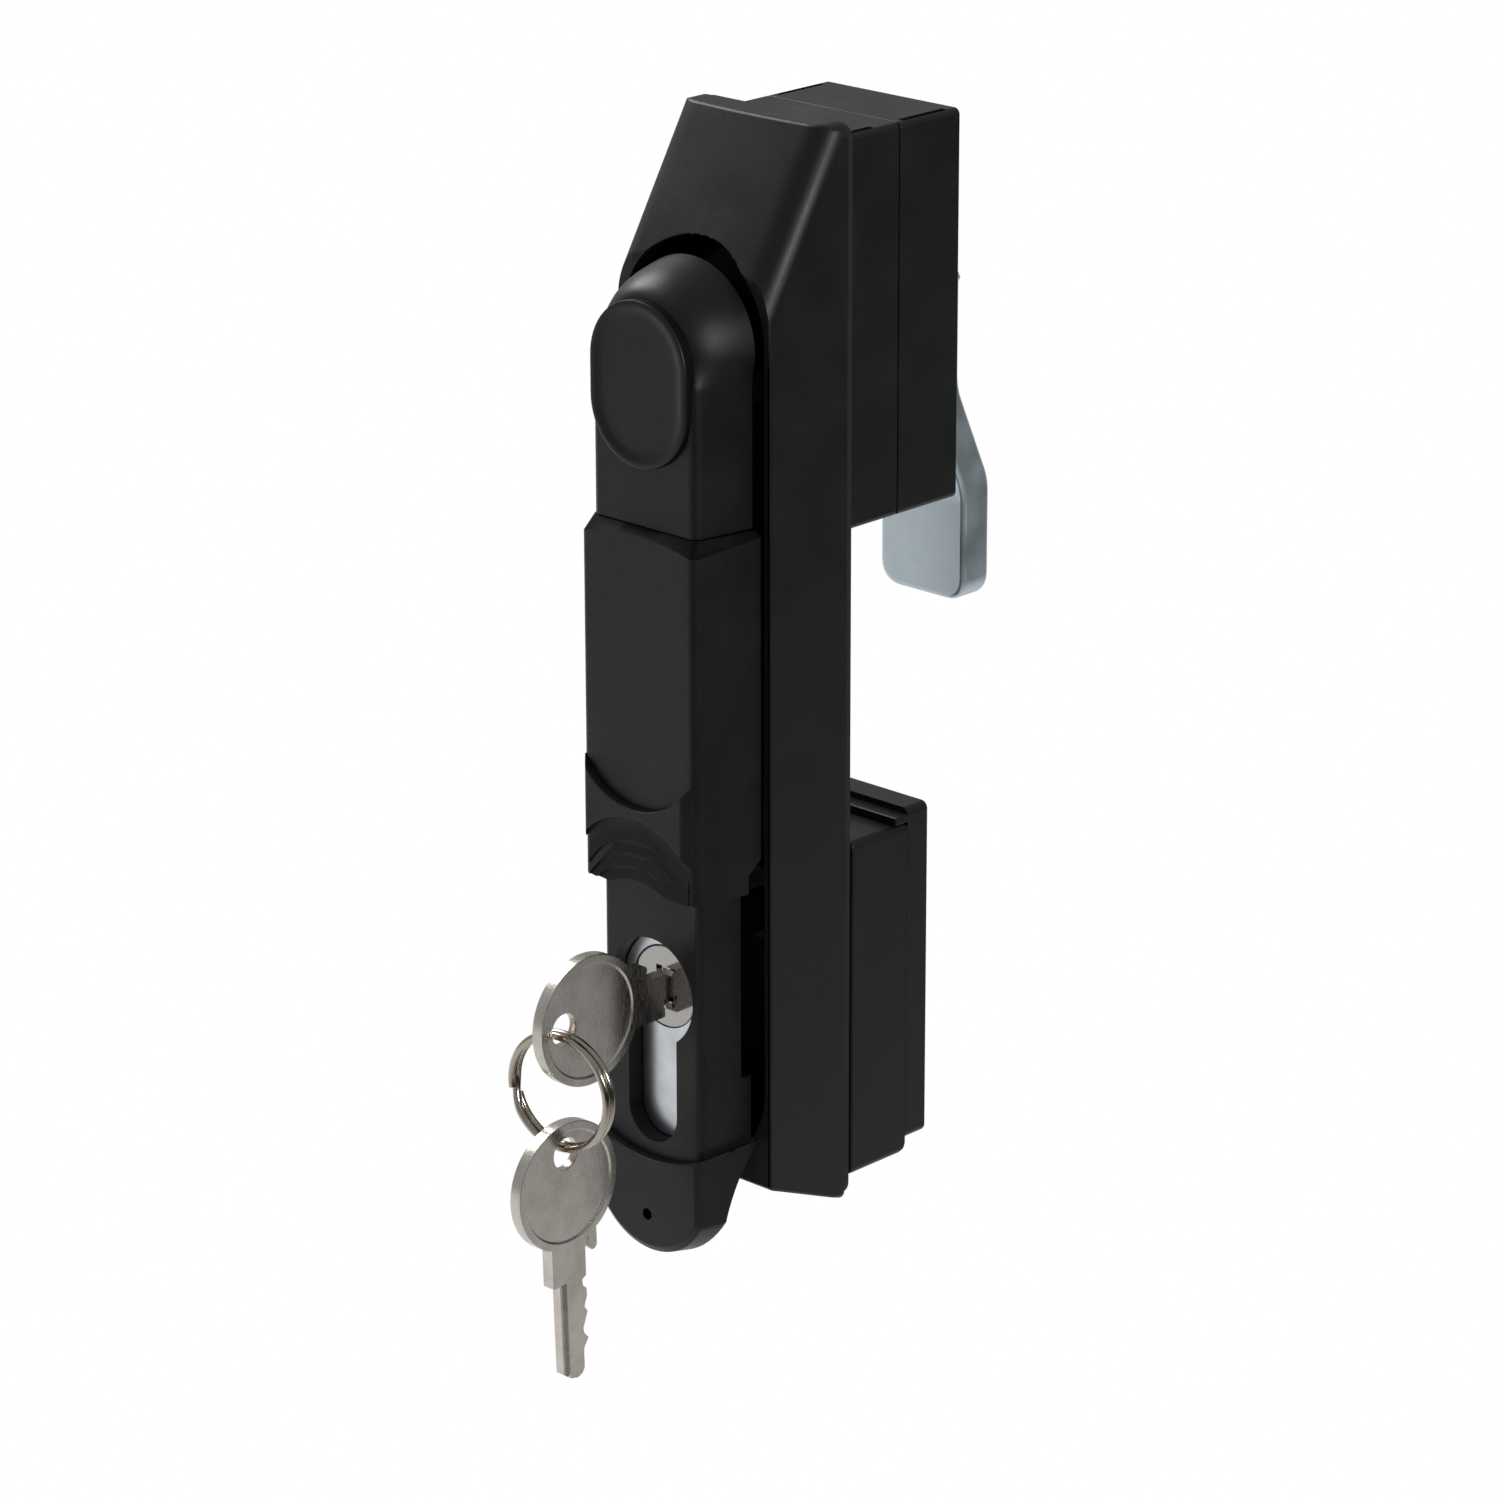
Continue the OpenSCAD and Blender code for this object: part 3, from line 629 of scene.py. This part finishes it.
# ------------------------------------------------------------ rear blocks
def make_upper_blocks():
    """The two upper blocks behind the door: a narrow seam between them, and
    on top two slots in each, deep enough to read dark."""
    outline = round_box(-13.7, 13.7, 69.2, 129.6, 1, 1)
    near = drawn("upper_block", front(outline, 1.6, 13.12))
    far = drawn("upper_lid", front(outline, 13.34, 26.6))
    for piece, y0, y1 in ((near, 2.4, 8.2), (far, 14.6, 24.4)):
        round_edges(piece, 0.22, anywhere)
        for x in (-13.0, 11.9):
            combine(piece, slab("groove", (x, y0, 128.2), (x + 1.1, y1, 131)))
    combine(near, rod("bore", 9.2, 0, 15, 0, SPINDLE_Z))
    combine(far, rod("bore", 6, 12, 28, 0, SPINDLE_Z))
    # in the far block a bore for each screw and a wider one for its head
    for piece, radius, y0, y1 in ((near, 4.2, 0, 15), (far, 2.05, 12, 28),
                                  (far, 3.7, 23.4, 28)):
        for z in CLAMP_SCREW_Z:
            combine(piece, rod("bore", radius, y0, y1, 0, z))
    stands_for(near, "clamp_frame")
    stands_for(far, "clamp_cap")


def make_lower_block():
    """The lower block behind the door, cut away at its foot, and its lid
    with a lip above the block's top."""
    box = drawn("lower_block", front(
        round_box(-DISH_SIDE, DISH_SIDE, -34.7, 20.25, 1.2, 1.2), 1.6, 14))
    trim(box, (0, 13.3, -34.7), (0, 0.927, -0.375))
    round_edges(box, 0.35, lambda x, y, z: y < 13.5)
    lid = drawn("lower_lid", front(
        round_box(-DISH_SIDE, DISH_SIDE, -32.4, 22.6, 1.2, 1.2), 14.05, 18.8))
    round_edges(lid, 0.35, lambda x, y, z: y > 14.5)
    lip = slab("lip", (-DISH_SIDE, 11.4, 20.35), (DISH_SIDE, 15, 21.6))
    round_edges(lip, 0.25, anywhere)
    combine(lid, lip, "UNION")
    for x in BASE_SCREW_X:
        for piece, radius, y0, y1 in ((box, 4, 0, 11.45), (box, 2.05, 10, 15),
                                      (lid, 2.05, 13, 20), (lid, 3.5, 16.4, 20)):
            combine(piece, rod("bore", radius, y0, y1, x, BASE_SCREW_Z))
    combine(box, rod("bore", 3.6, 0, 2.6, *KEEPER_SCREW))
    stands_for(box, "base_housing")
    stands_for(lid, "base_cover")


# ----------------------------------------------------------------- handle
def lock_outline(grow):
    """The lock's profile: a round with a leg below it."""
    r, leg = 8.5 + grow, 5 + grow
    turn = steepness(leg, r)
    return arc(0, 0, r, -turn, 180 + turn, 40) + arc(0, -19.5, leg, 180, 360, 20)


def oval(a, b):
    """The upright oval of the cap."""
    return (arc(0, CAP_Z + b - a, a, 0, 180, 32)
            + arc(0, CAP_Z - b + a, a, 180, 360, 32))


def handle_head():
    """The head: round about the spindle's axis, drawn down to the bar. Each
    row gives a depth, the round's radius and the half width below it."""
    rings = []
    for depth, r, side in (
            (17.05, 12.9, 12.3), (19.0, 12.55, 11.95), (21.0, 12.1, 11.58),
            (22.8, 11.55, 11.25), (24.3, 10.9, 10.97), (25.6, 10.1, 10.72),
            (26.35, 9.4, 10.53), (26.8, 8.75, 10.3), (27.15, 7.9, 10.0),
            (27.33, 7.1, 9.6), (27.4, 6.3, 9.2)):
        ring = arc(0, SPINDLE_Z, r, 0, 180, 48)
        down = [(r * (1 - t) + side * t, z)
                for z, t in ((98.6, 0.25), (97.2, 0.75), (95.8, 1), (73.8, 1))]
        ring += [(-x, z) for x, z in down] + down[::-1]
        rings.append([(x, -depth, z) for x, z in ring])
    return drawn("head", rings)


def handle_tip():
    """The tip, proud of the bar in front and at the sides. Each row gives a
    depth, the half width, the end's radius and the upper step's radius."""
    rings = []
    for depth, side, radius, step in (
            (-27.8, 9.9, 11.0, 27.3), (-27.74, 10.08, 11.2, 27.1),
            (-27.55, 10.35, 11.5, 27.0), (-27.1, 10.95, 12.15, 27.0),
            (-17.05, 13.0, 14.26, 27.0)):
        turn, top = steepness(side, radius), steepness(side, step)
        ring = arc(0, BAR_LOW, radius, 180 + turn, 360 - turn, 24)
        ring += arc(0, 0, step, 360 - top, 180 + top, 16)
        rings.append([(x, depth, z) for x, z in ring])
    tip = drawn("tip", rings)
    # its upper side leans back behind the bar's front
    block = slab("block", (-20, -21.8, -30), (20, -10, 5))
    lean = math.radians(31.4)
    trim(block, (0, -21.8, -24.6), (0, math.sin(lean), -math.cos(lean)))
    combine(tip, block)
    return tip


def hollow_out(bar):
    """The bar's inside: a narrow channel, a wider one above it and a round
    one in the head."""
    for section, low, high in (
            (((-9.75, -16), (-8.2, -23.4), (-7.5, -24.25),
              (7.5, -24.25), (8.2, -23.4), (9.75, -16)), -24, 75.0),
            (((-10.3, -16), (-8.5, -24.2), (-7.8, -25.0),
              (7.8, -25.0), (8.5, -24.2), (10.3, -16)), 73.6, 100)):
        combine(bar, drawn("hollow", upright(section, low, high)))
    combine(bar, rod("hollow", 9.6, -25, -10, 0, SPINDLE_Z, 96))


def make_handle():
    """The handle: a hollow bar with a collar for the lock, its head turned
    about the spindle's axis, its tip with a finger space behind."""
    section = soft(((-11.75, -17.05), (-10.3, -25.55), (-9.55, -26.35),
                    (9.55, -26.35), (10.3, -25.55), (11.75, -17.05)),
                   (0, 0.5, 0.5, 0.5, 0.5, 0))
    bar = drawn("handle_shell", upright(section, BAR_LOW, 74.2))
    head, tip = handle_head(), handle_tip()
    combine(bar, head, "UNION")
    combine(bar, tip, "UNION")
    hollow_out(bar)
    combine(bar, drawn("collar", front(lock_outline(1.7), -24.6, -19.25)), "UNION")
    combine(bar, drawn("opening", front(lock_outline(0.06), -30, -20.4)))
    combine(bar, rod("web", 6.3, -21, -19))
    # along the part that the cover slides on, the sides end higher
    combine(bar, slab("long_cut", (-14, -18.85, -13.3), (14, -15, 73.8)))
    combine(bar, drawn("seat", front(oval(9.85, 12.75), -30, -26.6)))
    combine(bar, cross_rod("finger", 33.4, -20, 20, 9.7, -44, 160))
    combine(bar, rod("drain", 0.95, -30, -26.2, 0, -36.3, 32))
    # two cheeks with round ends, bored for the cross pin
    outline = arc(PIN_Y, SPINDLE_Z, 5, -90, 90, 24) + [(-25.2, 105), (-25.2, 95)]
    for x0, x1 in ((-8, -5.15), (5.15, 8)):
        cheek = drawn("cheek", sideways(outline, x0, x1))
        combine(cheek, cross_rod("pin", 2.02, -9, 9, PIN_Y, SPINDLE_Z))
        put_together(bar, cheek)
    for z in (46, 62):
        put_together(bar, slab("rib", (-9.0, -24.5, z), (9.0, -20.6, z + 1.4)))
    stands_for(bar, "handle")


def make_cap():
    """The oval cap: a soft raised rim round a slightly sunk face, and a peg
    behind."""
    piece = drawn("oval_cap", [
        [(x, y, z) for x, z in oval(9.8 - d, 12.7 - d)]
        for y, d in ((-26.62, 0), (-28.15, 0.03), (-28.38, 0.13), (-28.5, 0.36),
                     (-28.5, 0.85), (-28.42, 1.2), (-28.2, 1.8), (-28.12, 2.6),
                     (-28.1, 5.0))])
    combine(piece, rod("peg", 2, -26.9, -23.6, 0, CAP_Z, 32), "UNION")
    stands_for(piece, "handle_cap")
    # painted shade: the cap's side wall, which lies in shade, takes the near-black
    # nylon
    paint_shade_on(piece, lambda x, y, z, normal: abs(normal.y) < 0.2)


# ------------------------------------------------------------- dust cover
def cover_section():
    """The cover's outline seen from above, its sides and front in short
    steps so that the upper rim can bend, its front corners soft."""
    left = [(-14.0 + 2.29 * t / 7, -17.1 - 10.9 * t / 7) for t in range(1, 8)]
    face = [(-10.96 + 21.92 * t / 14, -28.9) for t in range(15)]
    points = [(-14.0, -17.1)] + left + face
    points += [(-x, y) for x, y in points[7::-1]]
    width = [0.5 if k in (7, 8, 22, 23) else 0 for k in range(len(points))]
    return soft(points, width, 3)


def cover_rim(x, y, inward):
    """A point of the upper rim, which slopes to the handle and is lowest at
    the front corners: 0 gives its outer edge, 1 its inner one."""
    corner = (abs(x) / 11.2) ** 2 if y < -28.6 else (-17.1 - y) / 10.9
    low = COVER_HIGH - 0.9 - 1.5 * max(0.0, min(1.0, corner))
    return (x * (1 - 0.07 * inward), y + 1.6 * inward * (-17.1 - y) / 11.8,
            low + (COVER_HIGH - low) * inward)


def cover_bridge():
    """The bridge, between the panel's round end and the thumb hold. Each row
    gives a depth, the half width and how far both round edges step in."""
    rings = []
    for depth, side, inset in ((-27.5, 11.35, 0), (-28.9, 11.2, 0),
                               (-29.8, 10.35, 0), (-30.05, 10.07, 0.05),
                               (-30.17, 9.85, 0.18), (-30.2, 9.6, 0.38)):
        low, high = 14.0 + inset, 13.5 + inset
        a, b = steepness(side, low), steepness(side, high)
        rings.append([(x, depth, z) for x, z in
                      arc(0, HOLD_Z, low, a, 180 - a, 24)
                      + arc(0, 43.7, high, 180 + b, 360 - b, 24)])
    return drawn("bridge", rings)


def thumb_rib(z):
    """One rib of the hold, an arc that leans to the light and ends in a
    small drop."""
    side, wide, narrow = 10.4, 14.0, 12.2
    a, b = steepness(side, wide), steepness(side, narrow)
    outer = arc(0, z, wide, a, 180 - a, 24)
    inner = arc(0, z, narrow, 180 - b, b, 24)
    rib = drawn("rib", [[(x, -28.2, v) for x, v in outer + inner],
                        [(x, -28.86, v) for x, v in outer]
                        + [(x, -29.28, v) for x, v in inner]])
    trim(rib, (0, 0, COVER_LOW), (0, 0, -1))
    return rib


def make_cover():
    """The dust cover: a sleeve round the bar, with a sunk panel, a raised
    bridge and a ribbed hold for the thumb."""
    outside = cover_section()
    piece = drawn("dust_cover", upright(outside, COVER_LOW) + [
        [cover_rim(x, y, t) for x, y in outside] for t in (0.0, 1.0)])
    combine(piece, cover_bridge(), "UNION")
    for k in range(1, 6):
        combine(piece, thumb_rib(HOLD_Z - 2.05 * k), "UNION")
    combine(piece, drawn("inside", upright(
        ((-10.2, -15), (-10.2, -18.7), (-11.64, -18.7), (-10.42, -26.55),
         (10.42, -26.55), (11.64, -18.7), (10.2, -18.7), (10.2, -15)), 16, 75)))
    low_back = slab("low_back", (-20, -19.3, 15), (20, -10, 22.5))
    trim(low_back, (0, -19.3, 20.2), (0, -1, 1))
    combine(piece, low_back)
    stands_for(piece, "slide_cover")
    # the rim's slope lies in the handle's shade
    paint_shade_on(piece, lambda x, y, z, normal: z > 70 and normal.z > 0.2)


# ----------------------------------------------------------- cam and lock
def make_cam():
    """The cranked latch plate, pressed from thick sheet with soft edges."""
    profile = soft(((26.75, 109.5), (26.75, 83.0), (34.15, 67.0), (34.15, 49.3),
                    (40.15, 49.3), (40.15, 68.3), (32.75, 84.3), (32.75, 109.5)),
                   (0, 2.2, 2.2, 0, 0, 2.2, 2.2, 0), 6)
    piece = drawn("latch_cam", sideways(profile, -9.5, 9.5))
    combine(piece, drawn("corners", front(
        round_box(-8.75, 8.75, 49.3, 109.5, 3.6, 8.7), 20, 50)), "INTERSECT")
    combine(piece, slab("square", (-4.02, 20, 95.98), (4.02, 40, 104.02)))
    # all but the square hole's edges
    round_edges(piece, 0.9, lambda x, y, z: abs(x) > 4.1 or z < 95 or z > 105,
                least=50, segments=4)
    stands_for(piece, "cam")


def make_lock():
    """The lock insert with a groove for its clip, and the round plug with
    its keyway."""
    body = drawn("lock_face", front(lock_outline(0), -20.42, -23.4))
    round_edges(body, 0.18, lambda x, y, z: y < -23.3, segments=3)
    combine(body, rod("stem", 6.2, -20.6, -18.05), "UNION")
    groove = rod("groove", 7, -19.22, -18.33)
    combine(groove, rod("core", 5.2, -20, -18))
    combine(body, groove)
    combine(body, rod("bore", 6.65, -24, -20.9))
    combine(body, rod("bore", 4.25, -25, -17))
    stands_for(body, "lock_body")
    plug = rod("plug_face", 6.6, -23.45, -20.95, steps=96)
    round_edges(plug, 0.35, lambda x, y, z: y < -23.4, segments=4)
    combine(plug, rod("core", 4.2, -21.2, -17.95), "UNION")
    combine(plug, slab("end", (-2, -18.5, -2), (2, -17.07, 2)), "UNION")
    combine(plug, slab("keyway", (-1.09, -25, -2.6), (1.09, -19, 2.6)))
    combine(plug, slab("funnel", (-1.9, -25, -3.2), (1.9, -22.8, 3.2)))
    stands_for(plug, "key_plug")


# --------------------------------------------------------- keys and ring
def key_outline():
    """A key's outline, its bow about the origin and its blade along +X: the
    bow, the shoulder, the bitted blade and the neck with its round lobe."""
    off_centre = 0.35
    bow = arc(0, 0, 10.3, 38, 336, 72)
    shank = [(9.4, -4.4), (15.7, -4.4), (15.9, -4.2), (15.9, -2.55),
             (31.0, -2.5), (31.8, -1.5), (32.2, 0), (31.8, 1.0), (31.0, 1.5),
             (28.6, 1.5), (27.7, 1.6), (26.3, 2.55), (25.3, 1.7), (24.4, 1.55),
             (21.9, 2.55), (20.9, 1.95), (19.3, 2.55), (18.0, 2.55),
             (17.3, 1.8), (16.3, 1.7), (15.8, 2.55),
             (9.62, 2.6), (9.62, 3.48), (11.3, 3.5)]
    shank += arc(11.3, 4.3, 0.8, -90, 90, 8) + [(8.6, 5.1)]
    return bow + [(u, v + off_centre) for u, v in shank]


def disc(radius, depth, x=0.0, z=0.0, steps=64):
    """A flat round cutter along Z."""
    bpy.ops.object.select_all(action="DESELECT")
    bpy.ops.mesh.primitive_cylinder_add(
        vertices=steps, radius=radius * MM, depth=depth * MM,
        location=(x * MM, 0, z * MM))
    return closed(bpy.context.object)


def make_key(name, node, length, stand):
    """A key: a flat stamping whose bow has a raised border on both faces,
    with a hole in the bow and a groove along each side of the blade."""
    flat = key_outline()
    piece = drawn(name, [[(u, v, w) for u, v in flat] for w in (-1.05, 1.05)])
    if length < 32:
        trim(piece, (length, 0, 0), (1, 0, 0))
    for side in (-1, 1):
        sunk = disc(8.9, 1.0, z=side * 1.25, steps=128)
        for vertex in sunk.data.vertices:
            # the border's inner side leans outwards
            if abs(vertex.co.z) > 1.0 * MM:
                vertex.co.x *= 1.04
                vertex.co.y *= 1.04
        combine(piece, sunk)
    combine(piece, disc(2.5, 5, x=-BOW_TO_HOLE))
    combine(piece, slab("groove", (15.7, -2.65, 0.5), (40, -1.25, 2)))
    combine(piece, slab("groove", (13.6, 0.2, -2), (40, 1.2, -0.5)))
    round_edges(piece, 0.14,
                lambda x, y, z: abs(z) > 0.7 and math.hypot(x, y) < 10.5,
                least=40, segments=2)
    piece.data.transform(stand)
    stands_for(closed(piece), node)


def turned(offset, *rotations):
    """A placement in mm after turns about axes, in degrees."""
    made = Matrix.Translation(Vector(offset) * MM)
    for degrees, axis in rotations:
        made = made @ Matrix.Rotation(math.radians(degrees), 4, axis)
    return made


def make_keys():
    """One key in the plug, its blade cut off inside the lock, and its spare
    hanging from the split ring by the hole in its bow."""
    make_key("key_in_lock", "key", 21.4, turned(
        (0, -40.5, HOLE_Z), (90, "Z"), (90, "X")))
    spare_hole_z = HOLE_Z - 2 * WIRE_DROP - 2 * RING_RADIUS
    make_key("key_spare", "spare_key", 40, turned(
        (0, HOLE_Y, spare_hole_z), (90, "Z"), (90, "Y"), (90, "X"), (2, "Z"))
        @ Matrix.Translation(Vector((BOW_TO_HOLE, 0, 0)) * MM))


def make_ring():
    """The split ring: two turns of wire, wound side by side, which change
    lanes in one short bend; both ends are cut square beside the bend."""
    steps, turns = 150, 2
    wire_radius, lane_width = 0.61, 0.612
    bpy.ops.object.select_all(action="DESELECT")
    bpy.ops.curve.primitive_nurbs_path_add()
    coil = bpy.context.object
    coil.name = "wound_ring"
    coil.data.splines.clear()
    line = coil.data.splines.new("POLY")
    line.points.add(steps - 1)
    start = math.radians(196)
    total = math.radians(360 * turns - 8)
    for k, point in enumerate(line.points):
        wound = total * k / (steps - 1)
        # -1 in the first lane and 1 in the second, smooth between them
        lane = max(-1.0, min(1.0, (wound / math.radians(360) - 1.0) / 0.055))
        lane = lane * (1.5 - 0.5 * lane * lane)
        a = start + wound
        point.co = (RING_RADIUS * math.cos(a) * MM, -lane_width * lane * MM,
                    RING_RADIUS * math.sin(a) * MM, 1)
    coil.data.dimensions = "3D"
    coil.data.bevel_depth = wire_radius * MM
    coil.data.bevel_resolution = 6
    coil.data.use_fill_caps = True
    pick(coil)
    bpy.ops.object.convert(target="MESH")
    piece = bpy.context.object
    piece.data.transform(turned(
        (0, HOLE_Y, HOLE_Z - WIRE_DROP - RING_RADIUS), (7, "Z")))
    piece.matrix_world = Matrix.Identity(4)
    stands_for(closed(piece), "split_ring")


make_dish()
make_upper_blocks()
make_lower_block()
make_handle()
make_cap()
make_cover()
make_cam()
make_lock()
make_keys()
make_ring()


# -------------------------------------------------------- camera and light
def camera():
    """The photograph's view, with no shift."""
    azimuth, elevation, roll = (math.radians(a) for a in (43.468, 19.314, -0.112))
    eye = Vector((558.418, -593.79, 317.651)) * MM
    sensor, picture_width, focal_pixels = 36, 1500, 5656.029
    back = Vector((math.sin(azimuth) * math.cos(elevation),
                   -math.cos(azimuth) * math.cos(elevation), math.sin(elevation)))
    right = (-back).cross(Vector((0, 0, 1))).normalized()
    up = right.cross(-back)
    right, up = (right * math.cos(roll) + up * math.sin(roll),
                 up * math.cos(roll) - right * math.sin(roll))
    data = bpy.data.cameras.new("camera")
    data.sensor_width = sensor
    data.lens = sensor * focal_pixels / picture_width
    data.clip_start, data.clip_end = 0.05, 20
    made = bpy.data.objects.new("camera", data)
    made.matrix_world = (Matrix.Translation(eye)
                         @ Matrix((right, up, back)).transposed().to_4x4())
    bpy.context.scene.collection.objects.link(made)
    bpy.context.scene.camera = made


def lamp(name, place, aim, size, watts):
    """A soft round studio lamp, aimed at a point; places in metres."""
    data = bpy.data.lights.new(name, "AREA")
    data.shape = "DISK"
    data.size = size
    data.energy = watts
    made = bpy.data.objects.new(name, data)
    made.location = place
    made.rotation_euler = (Vector(aim) - Vector(place)).to_track_quat(
        "-Z", "Y").to_euler()
    bpy.context.scene.collection.objects.link(made)


def studio():
    """A pale room: white where the camera looks, greyer to the right, as
    round the photographed lock."""
    world = bpy.data.worlds.new("pale_room")
    bpy.context.scene.world = world
    world.use_nodes = True
    tree = world.node_tree
    tree.nodes.clear()
    ray = add(tree, "ShaderNodeLightPath")
    way = add(tree, "ShaderNodeTexCoord").outputs["Generated"]
    # how far a direction points to the right and down
    side = add(tree, "ShaderNodeVectorMath",
               {"operation": "DOT_PRODUCT", 1: (0.86, -0.11, -0.5)}, {0: way})
    shade = stops(add(tree, "ShaderNodeValToRGB", {}, {0: side.outputs["Value"]}),
                  (0.0, "#c4c6c9"), (0.6, "#96989a"), (0.85, "#303132"))
    shade.color_ramp.interpolation = "EASE"
    light = add(tree, "ShaderNodeBackground", {"Strength": 0.74},
                {"Color": shade.outputs[0]})
    white = add(tree, "ShaderNodeBackground",
                {"Color": (1, 1, 1, 1), "Strength": 1.0})
    mix = add(tree, "ShaderNodeMixShader", {},
              {0: ray.outputs["Is Camera Ray"], 1: light.outputs[0],
               2: white.outputs[0]})
    add(tree, "ShaderNodeOutputWorld", {}, {"Surface": mix.outputs[0]})
    lamp("key_lamp", (-1.15, 0.0, 1.0), (-0.5, -0.5, -0.25), 0.9, 19)
    lamp("right_lamp", (1.15, -0.05, 0.42), (0, 0, 0.1), 0.25, 7.5)


def floor():
    """A plain floor below the lock, white to the camera. To the lock it is
    graduated paper, which darkens to the right, where its sides look."""
    bpy.ops.object.select_all(action="DESELECT")
    bpy.ops.mesh.primitive_plane_add(size=6, location=(0, 0, -0.25))
    ground = bpy.context.object
    ground.name = "floor"
    bpy.ops.object.transform_apply(location=True, rotation=True, scale=True)
    mat, tree, shader, place = new_material("pale_paper")
    along = add(tree, "ShaderNodeVectorMath",
                {"operation": "DOT_PRODUCT", 1: (1.0, -0.1, 0.0)}, {0: place})
    paper = stops(add(tree, "ShaderNodeValToRGB", {}, {0: along.outputs["Value"]}),
                  (0.1, "#f0f0f0"), (0.33, "#bbbbbb"), (0.53, "#848484"),
                  (0.7, "#0c0c0c"))
    tree.links.new(paper.outputs[0], shader.inputs["Base Color"])
    shader.inputs["Roughness"].default_value = 0.9
    ray = add(tree, "ShaderNodeLightPath")
    glow = add(tree, "ShaderNodeEmission", {"Color": (1, 1, 1, 1), "Strength": 1.0})
    seen = add(tree, "ShaderNodeMixShader", {0: 0.0},
               {0: ray.outputs["Is Camera Ray"], 1: shader.outputs[0],
                2: glow.outputs[0]})
    for node in tree.nodes:
        if node.type == "OUTPUT_MATERIAL":
            tree.links.new(seen.outputs[0], node.inputs["Surface"])
    ground.data.materials.append(mat)


camera()
studio()
floor()

bpy.context.scene.view_settings.view_transform = "Standard"
